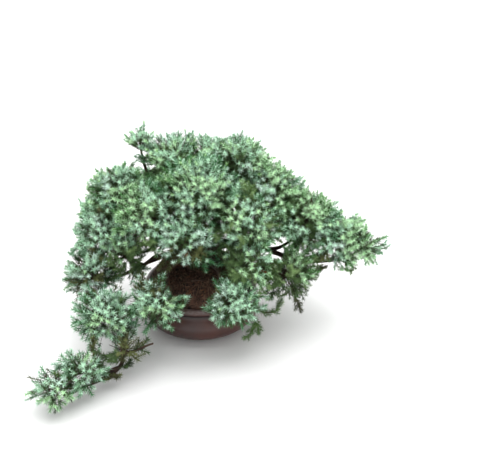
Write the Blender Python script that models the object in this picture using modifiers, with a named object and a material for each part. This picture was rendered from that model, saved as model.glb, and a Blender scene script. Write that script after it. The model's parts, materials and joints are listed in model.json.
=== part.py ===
"""Japanese garden juniper, a low spreading conifer, grown in a round brown stoneware bowl.

Metres, +Z up. The origin is the middle of the bowl's flat underside, and the plant's front faces -Y.
The bowl holds a domed mound of peat. A short leaning trunk stands on the mound and carries boughs,
each of which ends at one mass of foliage. One long bough trails over the rim, down to the ground at
the front left. A mass keeps to its own ellipsoid, cut back where a neighbour's begins. It is a smaller
core with twigs standing out of it, and each twig is a three-sided sprig with whorls of needles.
"""

import math
import random
from dataclasses import dataclass

import bmesh
import bpy
import numpy as np
from mathutils import Matrix, Vector
from mathutils.bvhtree import BVHTree

MM = 0.001
CLEAR = 0.3 * MM
WELD = 0.01 * MM
SCRAP_WELD = 0.002 * MM
SEED = 41

# The bowl: a foot, a round belly, a groove and a lip. Angles are in degrees.
BOWL_SIDES = 28
BOWL_HEIGHT = 50.0 * MM
FOOT_RADIUS = 47.5 * MM
FOOT_HEIGHT = 2.0 * MM
FOOT_BEVEL = 1.0 * MM
BELLY_MIDDLE = Vector((49.5, 22.5)) * MM
BELLY_HALF = Vector((23.0, 20.5)) * MM
BELLY_ANGLES = (40.0, -80.0)
BELLY_STEPS = 6
GROOVE_RADIUS = 65.5 * MM
GROOVE_Z = 40.5 * MM
LIP_RADIUS = 68.5 * MM
LIP_ROUND = 2.0 * MM
LIP_DRAFT = 0.5 * MM
LIP_FOOT_Z = 43.5 * MM
LIP_INNER_RADIUS = 62.0 * MM
LIP_INNER_ROUND = 1.0 * MM
WALL_MIDDLE = Vector((42.5, 23.5)) * MM
WALL_HALF = Vector((20.0, 17.5)) * MM
WALL_ANGLES = (-90.0, 35.0)
WALL_STEPS = 3

# The mound of peat: it meets the bowl's wall below the lip and rises to a small level top.
SOIL_EDGE_Z = 46.0 * MM
SOIL_TOP_Z = 74.0 * MM
SOIL_TOP_RADIUS = 27.0 * MM
SOIL_RIM_GAP = 1.6 * MM
SOIL_STEPS = 4

# The trunk: a flared foot on the mound, then a slight lean to the left and back.
# Each step is a place from the foot and a radius, in millimetres.
TRUNK_FOOT = Vector((2.0, 6.0, 74.3)) * MM
TRUNK_STEPS = (
    (0, 0, 0, 13.5),
    (0, 0, 5, 11.0),
    (1, 1, 15, 9.6),
    (0, 3, 28, 8.6),
    (-3, 4, 41, 7.6),
    (-5, 2, 53, 6.2),
)
TRUNK_BEVEL_STEPS = 3
TRUNK_LOBES = 4
TRUNK_LOBE_TURN = 0.6
TRUNK_LOBE_DEPTH = 0.16
TRUNK_FLARE_HEIGHT = 12.0 * MM

# A limb is a six-sided tube with a point about this often, and small seeded crooks.
LIMB_BEVEL_STEPS = 1
LIMB_POINT_EVERY = 20.0 * MM
LIMB_TIP_RADIUS = 1.7 * MM
LIMB_TAPER = 0.8
LIMB_CROOK = 1.6 * MM

# A mass hangs on its limb by a stem, which starts inside the edge of its space, a little below.
STEM_START_SHARE = 0.86
STEM_DROP = 0.45
STEM_STRAIGHT = 4.0 * MM
STEM_END_RADIUS = 1.2 * MM

# What foliage keeps clear of. A share is of the way from a mass's middle to the edge of its space.
NEIGHBOUR_MARGIN = 0.035
LIMB_MARGIN = 1.6 * MM
BOWL_MARGIN = 2.0 * MM
MOUND_MARGIN = 4.0 * MM
GROUND_MARGIN = 3.5 * MM
EDGE_STEPS = 48
EDGE_FURTHEST = 60.0 * MM

# A mass's core, and the sprigs that stand out of it.
CORE_SHARE = 0.80
CORE_LEAST = 2.5 * MM
CORE_CLEAR = 0.6 * MM
ROOT_SHARE = 0.50
HEADING_SPAN = 1.72
HEADING_STRAY = 0.12
HEADING_SWING = 0.25
UPWARD = 0.42
OUTWARD = 0.30
SPRIG_LONGEST = 38.0 * MM
SPRIG_SHORTEST = 13.0 * MM
SPRIG_TRIES = (0.98, 0.88, 0.78)
SPRIG_RADIUS_SHARE = 0.30
SPRIG_STEM_SHARE = 0.20
SPRIG_MARGIN = 0.9 * MM
SPRIG_LIMIT = 1.03
SPRIG_RINGS = ((0.50, 1.0, 0), (0.43, 0.30, 0), (0.78, 0.85, 60), (0.70, 0.26, 0), (1.0, 0.05, 0))
GOLDEN_ANGLE = math.pi * (3.0 - math.sqrt(5.0))


@dataclass
class Mass:
    """One mass of foliage: the ellipsoid that it keeps to, in metres, turned about the vertical."""

    name: str
    centre: Vector
    half: Vector
    turn: float
    twigs: int


@dataclass
class Limb:
    """One bough: where it leaves its parent, the points that it passes, and the mass that it feeds."""

    name: str
    parent: str
    share: float
    feeds: str
    radius: float
    sag: float
    via: tuple = ()


def mass(name, centre, half, twigs, turn=0.0):
    """A mass from sizes in millimetres and a turn in degrees."""
    return Mass(name, Vector(centre) * MM, Vector(half) * MM, math.radians(turn), twigs)


def limb(name, parent, share, radius, sag=0.10, feeds=None, via=()):
    """A limb from sizes in millimetres. It feeds the mass of its own name unless told otherwise."""
    return Limb(name, parent, share, feeds or name, radius * MM, sag, tuple(Vector(p) * MM for p in via))


MASSES = (
    mass("crown", (2, -4, 172), (54, 48, 44), 8),
    mass("spray_top_left", (-72, 62, 200), (24, 21, 30), 8, -25),
    mass("top_left", (-34, 50, 187), (42, 47, 39), 9),
    mass("top_middle", (10, 66, 175), (52, 50, 40), 9),
    mass("top_right", (45, 44, 187), (47, 48, 38), 9),
    mass("shoulder_high", (86, 22, 159), (43, 46, 39), 9),
    mass("shoulder_low", (128, 8, 130), (44, 48, 40), 9),
    mass("right_outer", (165, 3, 106), (41, 40, 42), 9),
    mass("right_tip", (194, -8, 102), (31, 26, 23), 8),
    mass("left_high", (-95, 24, 157), (44, 44, 39), 9),
    mass("left_middle", (-115, -6, 121), (40, 46, 39), 9),
    mass("left_low", (-128, -38, 81), (38, 38, 34), 9),
    mass("inner_left", (-84, -26, 100), (36, 33, 33), 8),
    mass("centre_left", (-54, -14, 144), (52, 46, 43), 9),
    mass("centre_right", (54, -18, 141), (52, 46, 45), 9),
    mass("front_middle", (-15, -46, 126), (40, 36, 39), 9),
    mass("front_right", (58, -48, 103), (42, 38, 37), 9),
    mass("front_right_low", (40, -84, 72), (41, 29, 27), 9),
    mass("right_low", (106, -30, 77), (50, 31, 35), 9, 40),
    mass("front_left", (-103, -88, 58), (40, 38, 38), 9),
    mass("front_left_inner", (-45, -81, 71), (42, 34, 38), 9),
    mass("trailing_sparse", (-78, -124, 40), (32, 22, 16), 7, 30),
    mass("trailing_clump", (-120, -149, 30), (33, 26, 24), 9, 25),
    mass("trailing_tip", (-145, -168, 24), (36, 25, 22), 9, 25),
    mass("back_left", (-62, 102, 120), (50, 44, 38), 8),
    mass("back_middle", (2, 116, 128), (48, 42, 42), 8),
    mass("back_right", (66, 98, 126), (48, 44, 42), 8),
    mass("left_back", (-116, 70, 110), (46, 44, 38), 8),
    mass("right_back", (124, 66, 98), (46, 44, 38), 8),
)

LIMBS = (
    limb("front_left", "trunk", 0.20, 4.4, via=((-38, -34, 88),)),
    limb("front_right_low", "trunk", 0.16, 3.4, via=((22, -42, 88),)),
    limb("left_low", "trunk", 0.36, 3.8, 0.02, via=((-52, -4, 84),)),
    limb("inner_left", "left_low", 0.40, 2.4, 0.0),
    limb("right_low", "trunk", 0.34, 3.4, -0.06),
    limb("right_back", "trunk", 0.28, 3.6, 0.02),
    limb("left_back", "trunk", 0.50, 3.6),
    limb("right_tip", "trunk", 0.52, 4.6, via=((62, 6, 96), (136, 4, 75))),
    limb("back_middle", "trunk", 0.45, 3.8),
    limb("left_middle", "trunk", 0.64, 3.8, 0.08),
    limb("front_right", "trunk", 0.70, 3.0),
    limb("back_left", "trunk", 0.68, 3.4),
    limb("back_right", "trunk", 0.62, 3.4),
    limb("front_middle", "trunk", 0.78, 2.8, 0.0),
    limb("shoulder_high", "trunk", 0.80, 3.4, 0.12),
    limb("left_high", "trunk", 0.84, 3.4, 0.12),
    limb("top_middle", "trunk", 0.88, 3.2),
    limb("top_left", "left_high", 0.24, 2.8, 0.0),
    limb("top_right", "shoulder_high", 0.24, 2.8, 0.0),
    limb("spray_top_left", "left_high", 0.60, 2.4, 0.02),
    limb("centre_left", "left_middle", 0.24, 2.6, 0.0),
    limb("centre_right", "right_tip", 0.16, 2.6, 0.0),
    limb("shoulder_low", "right_tip", 0.45, 2.8, 0.05),
    limb("right_outer", "right_tip", 0.66, 2.4, 0.04),
    limb("front_left_inner", "front_left", 0.46, 2.6, -0.08),
    limb("trailing_tip", "front_left", 0.62, 3.2, via=((-80, -92, 44), (-86, -120, 13), (-120, -148, 7))),
    limb("trailing_sparse", "trailing_tip", 0.44, 2.0, 0.0),
    limb("trailing_clump", "trailing_tip", 0.66, 2.0, 0.0),
)

BARK = ("bark", (0.115, 0.070, 0.045), 0.85)
STONEWARE = ("stoneware", (0.085, 0.040, 0.034), 0.45)
PEAT = ("peat", (0.060, 0.035, 0.022), 0.95)
NEEDLES = ("needles", (0.140, 0.270, 0.190), 0.60)


def clear_scene():
    """Empties the file of its objects."""
    for thing in list(bpy.data.objects):
        bpy.data.objects.remove(thing, do_unlink=True)


def new_collection(name):
    """A collection of that name, linked to the scene."""
    made = bpy.data.collections.new(name)
    bpy.context.scene.collection.children.link(made)
    return made


def material(name, colour, roughness):
    """A Principled material, made once for each name."""
    found = bpy.data.materials.get(name)
    if found:
        return found
    made = bpy.data.materials.new(name)
    made.use_nodes = True
    shader = made.node_tree.nodes["Principled BSDF"]
    shader.inputs["Base Color"].default_value = (*colour, 1.0)
    shader.inputs["Roughness"].default_value = roughness
    shader.inputs["Metallic"].default_value = 0.0
    return made


def add_object(name, mesh, collection, finish=None):
    """An object with that mesh, in that collection."""
    made = bpy.data.objects.new(name, mesh)
    collection.objects.link(made)
    if finish:
        made.data.materials.clear()
        made.data.materials.append(material(*finish))
    return made


def arc(middle, half, ends, steps):
    """Points of an elliptical arc in the profile plane, between two angles in degrees."""
    angles = [math.radians(ends[0] + (ends[1] - ends[0]) * k / steps) for k in range(steps + 1)]
    return [(middle.x + half.x * math.cos(a), middle.y + half.y * math.sin(a)) for a in angles]


def bowl_wall(inset):
    """The bowl's inner side from its floor up to where the wall turns upright, moved in by inset."""
    half = Vector((WALL_HALF.x - inset, WALL_HALF.y - inset))
    return arc(WALL_MIDDLE, half, WALL_ANGLES, WALL_STEPS)


def turned(name, profile, collection, finish):
    """A solid turned about Z from a profile that runs up its inner side and down its outer side."""
    mesh = bpy.data.meshes.new(name)
    points = [(r, 0.0, z) for r, z in profile]
    mesh.from_pydata(points, [(k, k + 1) for k in range(len(points) - 1)], [])
    made = add_object(name, mesh, collection, finish)
    screw = made.modifiers.new("Turn", "SCREW")
    screw.steps = screw.render_steps = BOWL_SIDES
    screw.use_merge_vertices = True
    screw.merge_threshold = WELD
    screw.use_smooth_shade = False
    return made


def make_bowl(collection):
    """The stoneware bowl, with a flat underside."""
    inner = bowl_wall(0.0)
    lip = [
        (LIP_INNER_RADIUS, BOWL_HEIGHT - LIP_INNER_ROUND),
        (LIP_INNER_RADIUS + LIP_ROUND, BOWL_HEIGHT),
        (LIP_RADIUS, BOWL_HEIGHT - LIP_ROUND),
        (LIP_RADIUS - LIP_DRAFT, LIP_FOOT_Z),
        (GROOVE_RADIUS, GROOVE_Z),
    ]
    belly = arc(BELLY_MIDDLE, BELLY_HALF, BELLY_ANGLES, BELLY_STEPS)
    foot = [(FOOT_RADIUS, FOOT_HEIGHT), (FOOT_RADIUS - FOOT_BEVEL, 0.0), (0.0, 0.0)]
    return turned("pot", [(0.0, inner[0][1]), *inner, *lip, *belly, *foot], collection, STONEWARE)


def mound_profile():
    """The mound's surface, from its level top out to the bowl's wall: a quarter of an ellipse."""
    half = Vector((LIP_INNER_RADIUS - SOIL_RIM_GAP - SOIL_TOP_RADIUS, SOIL_TOP_Z - SOIL_EDGE_Z))
    return arc(Vector((SOIL_TOP_RADIUS, SOIL_EDGE_Z)), half, (90.0, 0.0), SOIL_STEPS)


def make_soil(collection):
    """The peat: it fills the bowl 0.3 mm clear of the wall and stands above it as a mound."""
    wall = bowl_wall(CLEAR)
    profile = [(0.0, SOIL_TOP_Z), *mound_profile(), *reversed(wall), (0.0, wall[0][1])]
    return turned("soil_mound", profile, collection, PEAT)


def smooth_route(points, every):
    """A Catmull-Rom curve through the points, read about every so far, both ends kept."""
    padded = [points[0] * 2 - points[1], *points, points[-1] * 2 - points[-2]]
    route = []
    for a, b, c, d in zip(padded, padded[1:], padded[2:], padded[3:]):
        steps = max(1, round((c - b).length / every))
        for k in range(steps):
            t = k / steps
            bend = (2 * a - 5 * b + 4 * c - d) * t * t + (3 * b - a - 3 * c + d) * t**3
            route.append(0.5 * (2 * b + (c - a) * t + bend))
    route.append(points[-1].copy())
    return route


def tube(name, route, radii, extra, bevel_steps):
    """A closed tube mesh along the route, its radii widened by extra, rounder with more bevel steps."""
    curve = bpy.data.curves.new(name, "CURVE")
    curve.dimensions = "3D"
    curve.bevel_depth = 1.0
    curve.bevel_resolution = bevel_steps
    curve.use_fill_caps = True
    spline = curve.splines.new("POLY")
    spline.points.add(len(route) - 1)
    for point, place, radius in zip(spline.points, route, radii):
        point.co = (*place, 1.0)
        point.radius = radius + extra
    holder = bpy.data.objects.new(name, curve)
    bpy.context.scene.collection.objects.link(holder)
    bpy.context.view_layer.update()
    mesh = bpy.data.meshes.new_from_object(holder.evaluated_get(bpy.context.evaluated_depsgraph_get()))
    bpy.data.objects.remove(holder)
    bpy.data.curves.remove(curve)
    shape = bmesh.new()
    shape.from_mesh(mesh)
    bmesh.ops.remove_doubles(shape, verts=shape.verts, dist=WELD)
    bmesh.ops.triangulate(shape, faces=shape.faces)
    bmesh.ops.recalc_face_normals(shape, faces=shape.faces)
    shape.to_mesh(mesh)
    shape.free()
    return mesh


def largest_shell(mesh):
    """Keeps the mesh's largest shell, welded and made of triangles. Tells whether it is closed."""
    shape = bmesh.new()
    shape.from_mesh(mesh)
    bmesh.ops.remove_doubles(shape, verts=shape.verts, dist=SCRAP_WELD)
    bmesh.ops.dissolve_degenerate(shape, edges=shape.edges, dist=SCRAP_WELD)
    bmesh.ops.triangulate(shape, faces=shape.faces)
    left, shells = set(shape.faces), []
    while left:
        stack, shell = [left.pop()], set()
        while stack:
            face = stack.pop()
            shell.add(face)
            beside = {other for edge in face.edges for other in edge.link_faces} & left
            left -= beside
            stack += beside
        shells.append(shell)
    keep = max(shells, key=len)
    bmesh.ops.delete(shape, geom=[f for f in shape.faces if f not in keep], context="FACES")
    sound = all(len(edge.link_faces) == 2 for edge in shape.edges)
    shape.to_mesh(mesh)
    shape.free()
    return sound


def boolean(target, operation, operands, solver="EXACT"):
    """Applies one Boolean with a collection of operands to the target, then removes the operands."""
    group = new_collection("operands")
    for mesh in operands:
        add_object("operand", mesh, group)
    joined = target.modifiers.new("Join", "BOOLEAN")
    joined.operation = operation
    joined.operand_type = "COLLECTION"
    joined.collection = group
    joined.solver = solver
    bpy.context.view_layer.update()
    result = bpy.data.meshes.new_from_object(target.evaluated_get(bpy.context.evaluated_depsgraph_get()))
    target.modifiers.remove(joined)
    for operand in list(group.objects):
        bpy.data.objects.remove(operand)
    bpy.data.collections.remove(group)
    return result


def fuse(target, operation, operands):
    """Joins or cuts the target by the solver that closes the mesh, with fewer operands if neither does."""
    finish = target.data.materials[0]
    operands = list(operands)
    sound = False
    while operands and not sound:
        for solver in ("EXACT", "MANIFOLD"):
            result = boolean(target, operation, [m.copy() for m in operands], solver)
            sound = len(result.polygons) > 0 and largest_shell(result)
            if sound:
                break
        operands.pop()
    result.name = target.name
    result.materials.clear()
    result.materials.append(finish)
    target.data = result
    return target


class Skeleton:
    """The trunk and limbs as routes with radii, and what is needed to stay clear of them."""

    def __init__(self):
        self.routes = {}
        self.radii = {}
        self.roots = {}

    def add(self, name, route, radii):
        """Keeps a limb's centre line and radii."""
        self.routes[name] = route
        self.radii[name] = radii

    def at(self, name, share):
        """The point at that share of a limb's length, and its heading there."""
        route = self.routes[name]
        lengths = [(b - a).length for a, b in zip(route, route[1:])]
        left = share * sum(lengths)
        for a, b, length in zip(route, route[1:], lengths):
            if left <= length:
                return a.lerp(b, left / length), (b - a).normalized()
            left -= length
        return route[-1].copy(), (route[-1] - route[-2]).normalized()

    def segments(self):
        """All limbs as straight segments: their starts, their ends and the larger radius of each."""
        rows = [
            (a, b, max(ra, rb))
            for name, route in self.routes.items()
            for a, b, ra, rb in zip(route, route[1:], self.radii[name], self.radii[name][1:])
        ]
        return tuple(np.array([row[k] for row in rows]) for k in range(3))


class Spaces:
    """The spaces that the masses keep to, and the test of whether points lie in one of them."""

    def __init__(self, masses):
        self.centres = np.array([m.centre for m in masses])
        self.halves = np.array([m.half for m in masses])
        self.turns = np.array([m.turn for m in masses])
        self.names = [m.name for m in masses]
        self.blocks = None

    def block(self, starts, ends, radii):
        """Takes in the limbs that foliage stays clear of."""
        self.blocks = (starts, ends, radii)

    def reach(self, points):
        """How far out each point is in each mass, as a share of that mass's ellipsoid."""
        away = points[None, :, :] - self.centres[:, None, :]
        c, s = np.cos(self.turns)[:, None], np.sin(self.turns)[:, None]
        x = away[:, :, 0] * c + away[:, :, 1] * s
        y = away[:, :, 1] * c - away[:, :, 0] * s
        local = np.stack([x, y, away[:, :, 2]], axis=2) / self.halves[:, None, :]
        return np.linalg.norm(local, axis=2)

    def limbs_clear(self, points, margin):
        """Whether each point is clear of the limbs."""
        starts, ends, radii = self.blocks
        ab = ends - starts
        away = points[:, None, :] - starts[None, :, :]
        along = np.clip((away * ab).sum(2) / (ab * ab).sum(1), 0.0, 1.0)
        gaps = np.linalg.norm(away - along[:, :, None] * ab[None, :, :], axis=2) - radii
        return gaps.min(1) > margin

    def bowl_clear(self, points):
        """Whether each point is clear of the bowl, the mound and the ground."""
        out = np.hypot(points[:, 0], points[:, 1])
        z = points[:, 2]
        in_bowl = (out < LIP_RADIUS + BOWL_MARGIN) & (z < BOWL_HEIGHT + BOWL_MARGIN)
        profile = mound_profile()
        top = np.interp(out, [r for r, _ in profile], [h for _, h in profile]) + MOUND_MARGIN
        in_mound = (out < LIP_INNER_RADIUS) & (z < top)
        return ~in_bowl & ~in_mound & (z > GROUND_MARGIN)

    def holds(self, index, points, limb_margin=LIMB_MARGIN, limit=1.0):
        """Whether each point lies in that mass's space."""
        reach = self.reach(points)
        own = reach[index]
        others = np.delete(reach, index, axis=0).min(0)
        inside = (own <= limit) & (others > own + NEIGHBOUR_MARGIN)
        return inside & self.bowl_clear(points) & self.limbs_clear(points, limb_margin)

    def edge(self, index, start, directions):
        """How far one can go from start in each direction without leaving the mass's space."""
        lengths = np.linspace(0.0, EDGE_FURTHEST, EDGE_STEPS + 1)[1:]
        points = start + directions[:, None, :] * lengths[None, :, None]
        inside = self.holds(index, points.reshape(-1, 3)).reshape(len(directions), EDGE_STEPS)
        first_out = np.where(inside.all(1), EDGE_STEPS, np.argmin(inside, axis=1))
        return first_out * EDGE_FURTHEST / EDGE_STEPS


def trunk_route():
    """The trunk's centre line and radii."""
    route = [TRUNK_FOOT + Vector(step[:3]) * MM for step in TRUNK_STEPS]
    return route, [step[3] * MM for step in TRUNK_STEPS]


def stem_root(spaces, index, heading_from):
    """Where a mass's stem begins: on the edge of its space, towards its limb and a little below."""
    centre = Vector(spaces.centres[index])
    way = (heading_from - centre).normalized() + Vector((0, 0, -STEM_DROP))
    way.normalize()
    reach = 1.0 / spaces.reach(np.array([centre + way]))[index, 0]
    return centre + way * reach * STEM_START_SHARE


def plan_skeleton(spaces):
    """Works out every limb's route: from its parent, past its points, to its mass's stem."""
    skeleton = Skeleton()
    skeleton.add("trunk", *trunk_route())
    index_of = {name: k for k, name in enumerate(spaces.names)}
    dice = random.Random(SEED)
    for item in LIMBS:
        start, _ = skeleton.at(item.parent, item.share)
        index = index_of[item.feeds]
        root = stem_root(spaces, index, item.via[-1] if item.via else start)
        passing = list(item.via)
        if not passing:
            middle = start.lerp(root, 0.5)
            passing = [middle - Vector((0, 0, item.sag * (root - start).length))]
        route = smooth_route([start, *passing, root], LIMB_POINT_EVERY)
        for point in route[1:-1]:
            point += Vector([dice.uniform(-1.0, 1.0) for _ in range(3)]) * LIMB_CROOK
        shares = [k / (len(route) - 1) for k in range(len(route))]
        radii = [item.radius + (LIMB_TIP_RADIUS - item.radius) * share**LIMB_TAPER for share in shares]
        heading = (route[-1] - route[-2]).normalized()
        skeleton.roots[item.feeds] = (root, heading)
        route[-1] = root - heading * CLEAR
        skeleton.add(item.name, route, radii)
    top = skeleton.routes["trunk"][-1]
    lean = (top - skeleton.routes["trunk"][-2]).normalized()
    skeleton.roots["crown"] = (top + lean * CLEAR, lean)
    return skeleton


def trunk_mesh(skeleton, extra=0.0):
    """The trunk's mesh, widened by extra, with buttress lobes where its foot widens."""
    mesh = tube("trunk", skeleton.routes["trunk"], skeleton.radii["trunk"], extra, TRUNK_BEVEL_STEPS)
    for vert in mesh.vertices:
        low = max(0.0, 1.0 - (vert.co.z - TRUNK_FOOT.z) / TRUNK_FLARE_HEIGHT)
        angle = math.atan2(vert.co.y - TRUNK_FOOT.y, vert.co.x - TRUNK_FOOT.x)
        grow = 1.0 + TRUNK_LOBE_DEPTH * low * math.cos(TRUNK_LOBES * angle + TRUNK_LOBE_TURN)
        vert.co.x = TRUNK_FOOT.x + (vert.co.x - TRUNK_FOOT.x) * grow
        vert.co.y = TRUNK_FOOT.y + (vert.co.y - TRUNK_FOOT.y) * grow
    return mesh


def limb_mesh(skeleton, name, extra=0.0):
    """A limb's tube, widened by extra."""
    if name == "trunk":
        return trunk_mesh(skeleton, extra)
    return tube(name, skeleton.routes[name], skeleton.radii[name], extra, LIMB_BEVEL_STEPS)


def make_boughs(skeleton, collection):
    """Every bough as a tapering tube, its foot cut to the parent that it springs from."""
    boughs = []
    for item in LIMBS:
        bough = add_object("bough_" + item.name, limb_mesh(skeleton, item.name), collection, BARK)
        boughs.append(fuse(bough, "DIFFERENCE", [limb_mesh(skeleton, item.parent, CLEAR)]))
    return boughs


def grow_ring(shape, face, rise, scale, turn):
    """Extrudes a face along Z, scales it and turns it about Z. Returns the new face."""
    made = bmesh.ops.extrude_face_region(shape, geom=[face], use_keep_orig=True)["geom"]
    verts = [g for g in made if isinstance(g, bmesh.types.BMVert)]
    new_face = next(g for g in made if isinstance(g, bmesh.types.BMFace))
    centre = new_face.calc_center_median()
    bmesh.ops.scale(shape, verts=verts, vec=(scale, scale, 1.0), space=Matrix.Translation(-centre))
    bmesh.ops.rotate(shape, verts=verts, cent=centre, matrix=Matrix.Rotation(turn, 3, "Z"))
    bmesh.ops.translate(shape, verts=verts, vec=(0.0, 0.0, rise))
    return new_face


def sprig_template(rings):
    """A sprig one long and one in radius: a three-sided stem whose whorls of needles lean forward.

    Each ring is its height, its radius and its turn in degrees. The last one closes to the tip.
    """
    shape = bmesh.new()
    height, radius = 0.0, SPRIG_STEM_SHARE
    bmesh.ops.create_circle(shape, cap_ends=True, segments=3, radius=radius)
    face = next(iter(shape.faces))
    spent = []
    for next_height, next_radius, turn in rings:
        face = grow_ring(shape, face, next_height - height, next_radius / radius, math.radians(turn))
        spent.append(face)
        height, radius = next_height, next_radius
    tip = face.calc_center_median()
    last = list(face.verts)
    bmesh.ops.delete(shape, geom=spent, context="FACES_ONLY")
    bmesh.ops.holes_fill(shape, edges=[e for e in shape.edges if e.is_boundary], sides=3)
    bmesh.ops.pointmerge(shape, verts=last, merge_co=tip)
    bmesh.ops.triangulate(shape, faces=shape.faces)
    bmesh.ops.recalc_face_normals(shape, faces=shape.faces)
    mesh = bpy.data.meshes.new("sprig")
    shape.to_mesh(mesh)
    shape.free()
    return mesh


def sprig_matrix(root, axis, length, roll):
    """Places the sprig: its foot at root, along axis, at that length."""
    radius = length * SPRIG_RADIUS_SHARE
    turn = axis.to_track_quat("Z", "Y").to_matrix().to_4x4() @ Matrix.Rotation(roll, 4, "Z")
    return Matrix.Translation(root) @ turn @ Matrix.Diagonal((radius, radius, length, 1.0))


def core_mesh(spaces, index):
    """The smaller core of a mass: a ball of 80 faces drawn in to a share of its space."""
    shape = bmesh.new()
    bmesh.ops.create_icosphere(shape, subdivisions=2, radius=1.0)
    centre = Vector(spaces.centres[index])
    directions = np.array([v.co.normalized() for v in shape.verts])
    flat = directions * spaces.halves[index]
    flat /= np.linalg.norm(flat, axis=1)[:, None]
    lengths = spaces.edge(index, np.array(centre), flat)
    for vert, way, length in zip(shape.verts, flat, lengths):
        vert.co = centre + Vector(way) * max(length * CORE_SHARE, CORE_LEAST)
    mesh = bpy.data.meshes.new("core")
    shape.to_mesh(mesh)
    shape.free()
    return mesh


def tree_of(mesh):
    """A search tree of a mesh whose object sits at the origin."""
    verts = [v.co.copy() for v in mesh.vertices]
    return BVHTree.FromPolygons(verts, [tuple(p.vertices) for p in mesh.polygons])


def twig_headings(item, dice):
    """Headings of a mass's twigs, spread by the golden angle from the top down, with a seeded stray."""
    for k in range(item.twigs):
        height = 1.0 - HEADING_SPAN * (k + 0.5) / item.twigs
        around = k * GOLDEN_ANGLE + dice.uniform(-HEADING_SWING, HEADING_SWING)
        ring = math.sqrt(max(0.0, 1.0 - height * height))
        stray = Vector([dice.uniform(-HEADING_STRAY, HEADING_STRAY) for _ in range(3)])
        way = Vector((ring * math.cos(around), ring * math.sin(around), height)) + stray
        yield way.normalized()


def grow_mass(spaces, index, item, skeleton, template, taken):
    """The stem and sprigs of a mass, as meshes: those that stay in its space and touch nothing."""
    centre = item.centre
    outward = Vector((centre.x, centre.y, 0.0)).normalized()
    dice = random.Random(SEED + 100 + index)
    grown = [stem_mesh(*skeleton.roots[item.name], centre)]

    def offer(root, axis, length, roll):
        """Keeps a sprig if all of it lies in the space and clear of what stands already."""
        mesh = template.copy()
        mesh.transform(sprig_matrix(root, axis, length, roll))
        points = np.array([v.co for v in mesh.vertices])
        tree = tree_of(mesh)
        fits = spaces.holds(index, points, SPRIG_MARGIN, SPRIG_LIMIT).all()
        if fits and not any(tree.overlap(other) for other in taken):
            grown.append(mesh)
            return True
        bpy.data.meshes.remove(mesh)
        return False

    for way in twig_headings(item, dice):
        roll = dice.uniform(0.0, math.tau)
        axis = (way + Vector((0, 0, UPWARD)) + outward * OUTWARD).normalized()
        reach = spaces.edge(index, np.array(centre), np.array([way]))[0]
        start = centre + way * reach * ROOT_SHARE
        furthest = spaces.edge(index, np.array(start), np.array([axis]))[0]
        for shrink in SPRIG_TRIES:
            long = min(furthest, SPRIG_LONGEST) * shrink
            if long < SPRIG_SHORTEST or offer(start, axis, long, roll):
                break
    return grown


def stem_mesh(root, heading, centre):
    """The short stem by which a mass stands on its limb: on from the limb's heading, to the middle."""
    route = [root, root + heading * STEM_STRAIGHT, centre]
    return tube("stem", route, [LIMB_TIP_RADIUS, LIMB_TIP_RADIUS, STEM_END_RADIUS], 0.0, 0)


def clear_core(body, skeleton):
    """Cuts a core clear of any limb that runs through its side."""
    fat = [limb_mesh(skeleton, name, CORE_CLEAR) for name in skeleton.routes]
    own = tree_of(body.data)
    crossing = [mesh for mesh in fat if own.overlap(tree_of(mesh))]
    if crossing:
        fuse(body, "DIFFERENCE", crossing)


def make_masses(spaces, skeleton, fixed, collection):
    """Every mass of foliage as one fused solid."""
    template = sprig_template(SPRIG_RINGS)
    bodies = []
    for index, item in enumerate(MASSES):
        body = add_object("foliage_" + item.name, core_mesh(spaces, index), collection, NEEDLES)
        clear_core(body, skeleton)
        bodies.append(body)
    core_trees = [tree_of(body.data) for body in bodies]
    standing = []
    for index, (item, body) in enumerate(zip(MASSES, bodies)):
        others = [t for k, t in enumerate(core_trees) if k != index]
        sprigs = grow_mass(spaces, index, item, skeleton, template, fixed + others + standing)
        standing += [tree_of(s) for s in sprigs]
        fuse(body, "UNION", sprigs)


def main():
    """Builds the bowl, the peat, the trunk, the boughs and the foliage."""
    clear_scene()
    collection = new_collection("garden_juniper")
    spaces = Spaces(MASSES)
    skeleton = plan_skeleton(spaces)
    spaces.block(*skeleton.segments())
    make_bowl(collection)
    make_soil(collection)
    trunk = add_object("trunk", trunk_mesh(skeleton), collection, BARK)
    fixed = [tree_of(limb.data) for limb in (trunk, *make_boughs(skeleton, collection))]
    make_masses(spaces, skeleton, fixed, collection)


main()
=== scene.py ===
"""The looks of a japanese garden juniper in a low round bowl.

Metres, +Z up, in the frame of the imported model: the origin is the middle of the bowl's underside and
the plant's front faces -Y. The bowl, the peat, the bark and the foliage are each a class that builds its
own meshes. Foliage grows by the rule of the plain solids: a mass keeps to its ellipsoid, and twigs go out
from its stem. Here each twig ends in a spray of leafy shoots, and each shoot has whorls of needles.
"""

import json
import logging
import math
import random
from dataclasses import dataclass, field
from enum import Enum
from itertools import product
from typing import Callable, Iterator

import bmesh
import bpy
import numpy as np
from mathutils import Matrix, Vector, noise

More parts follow.
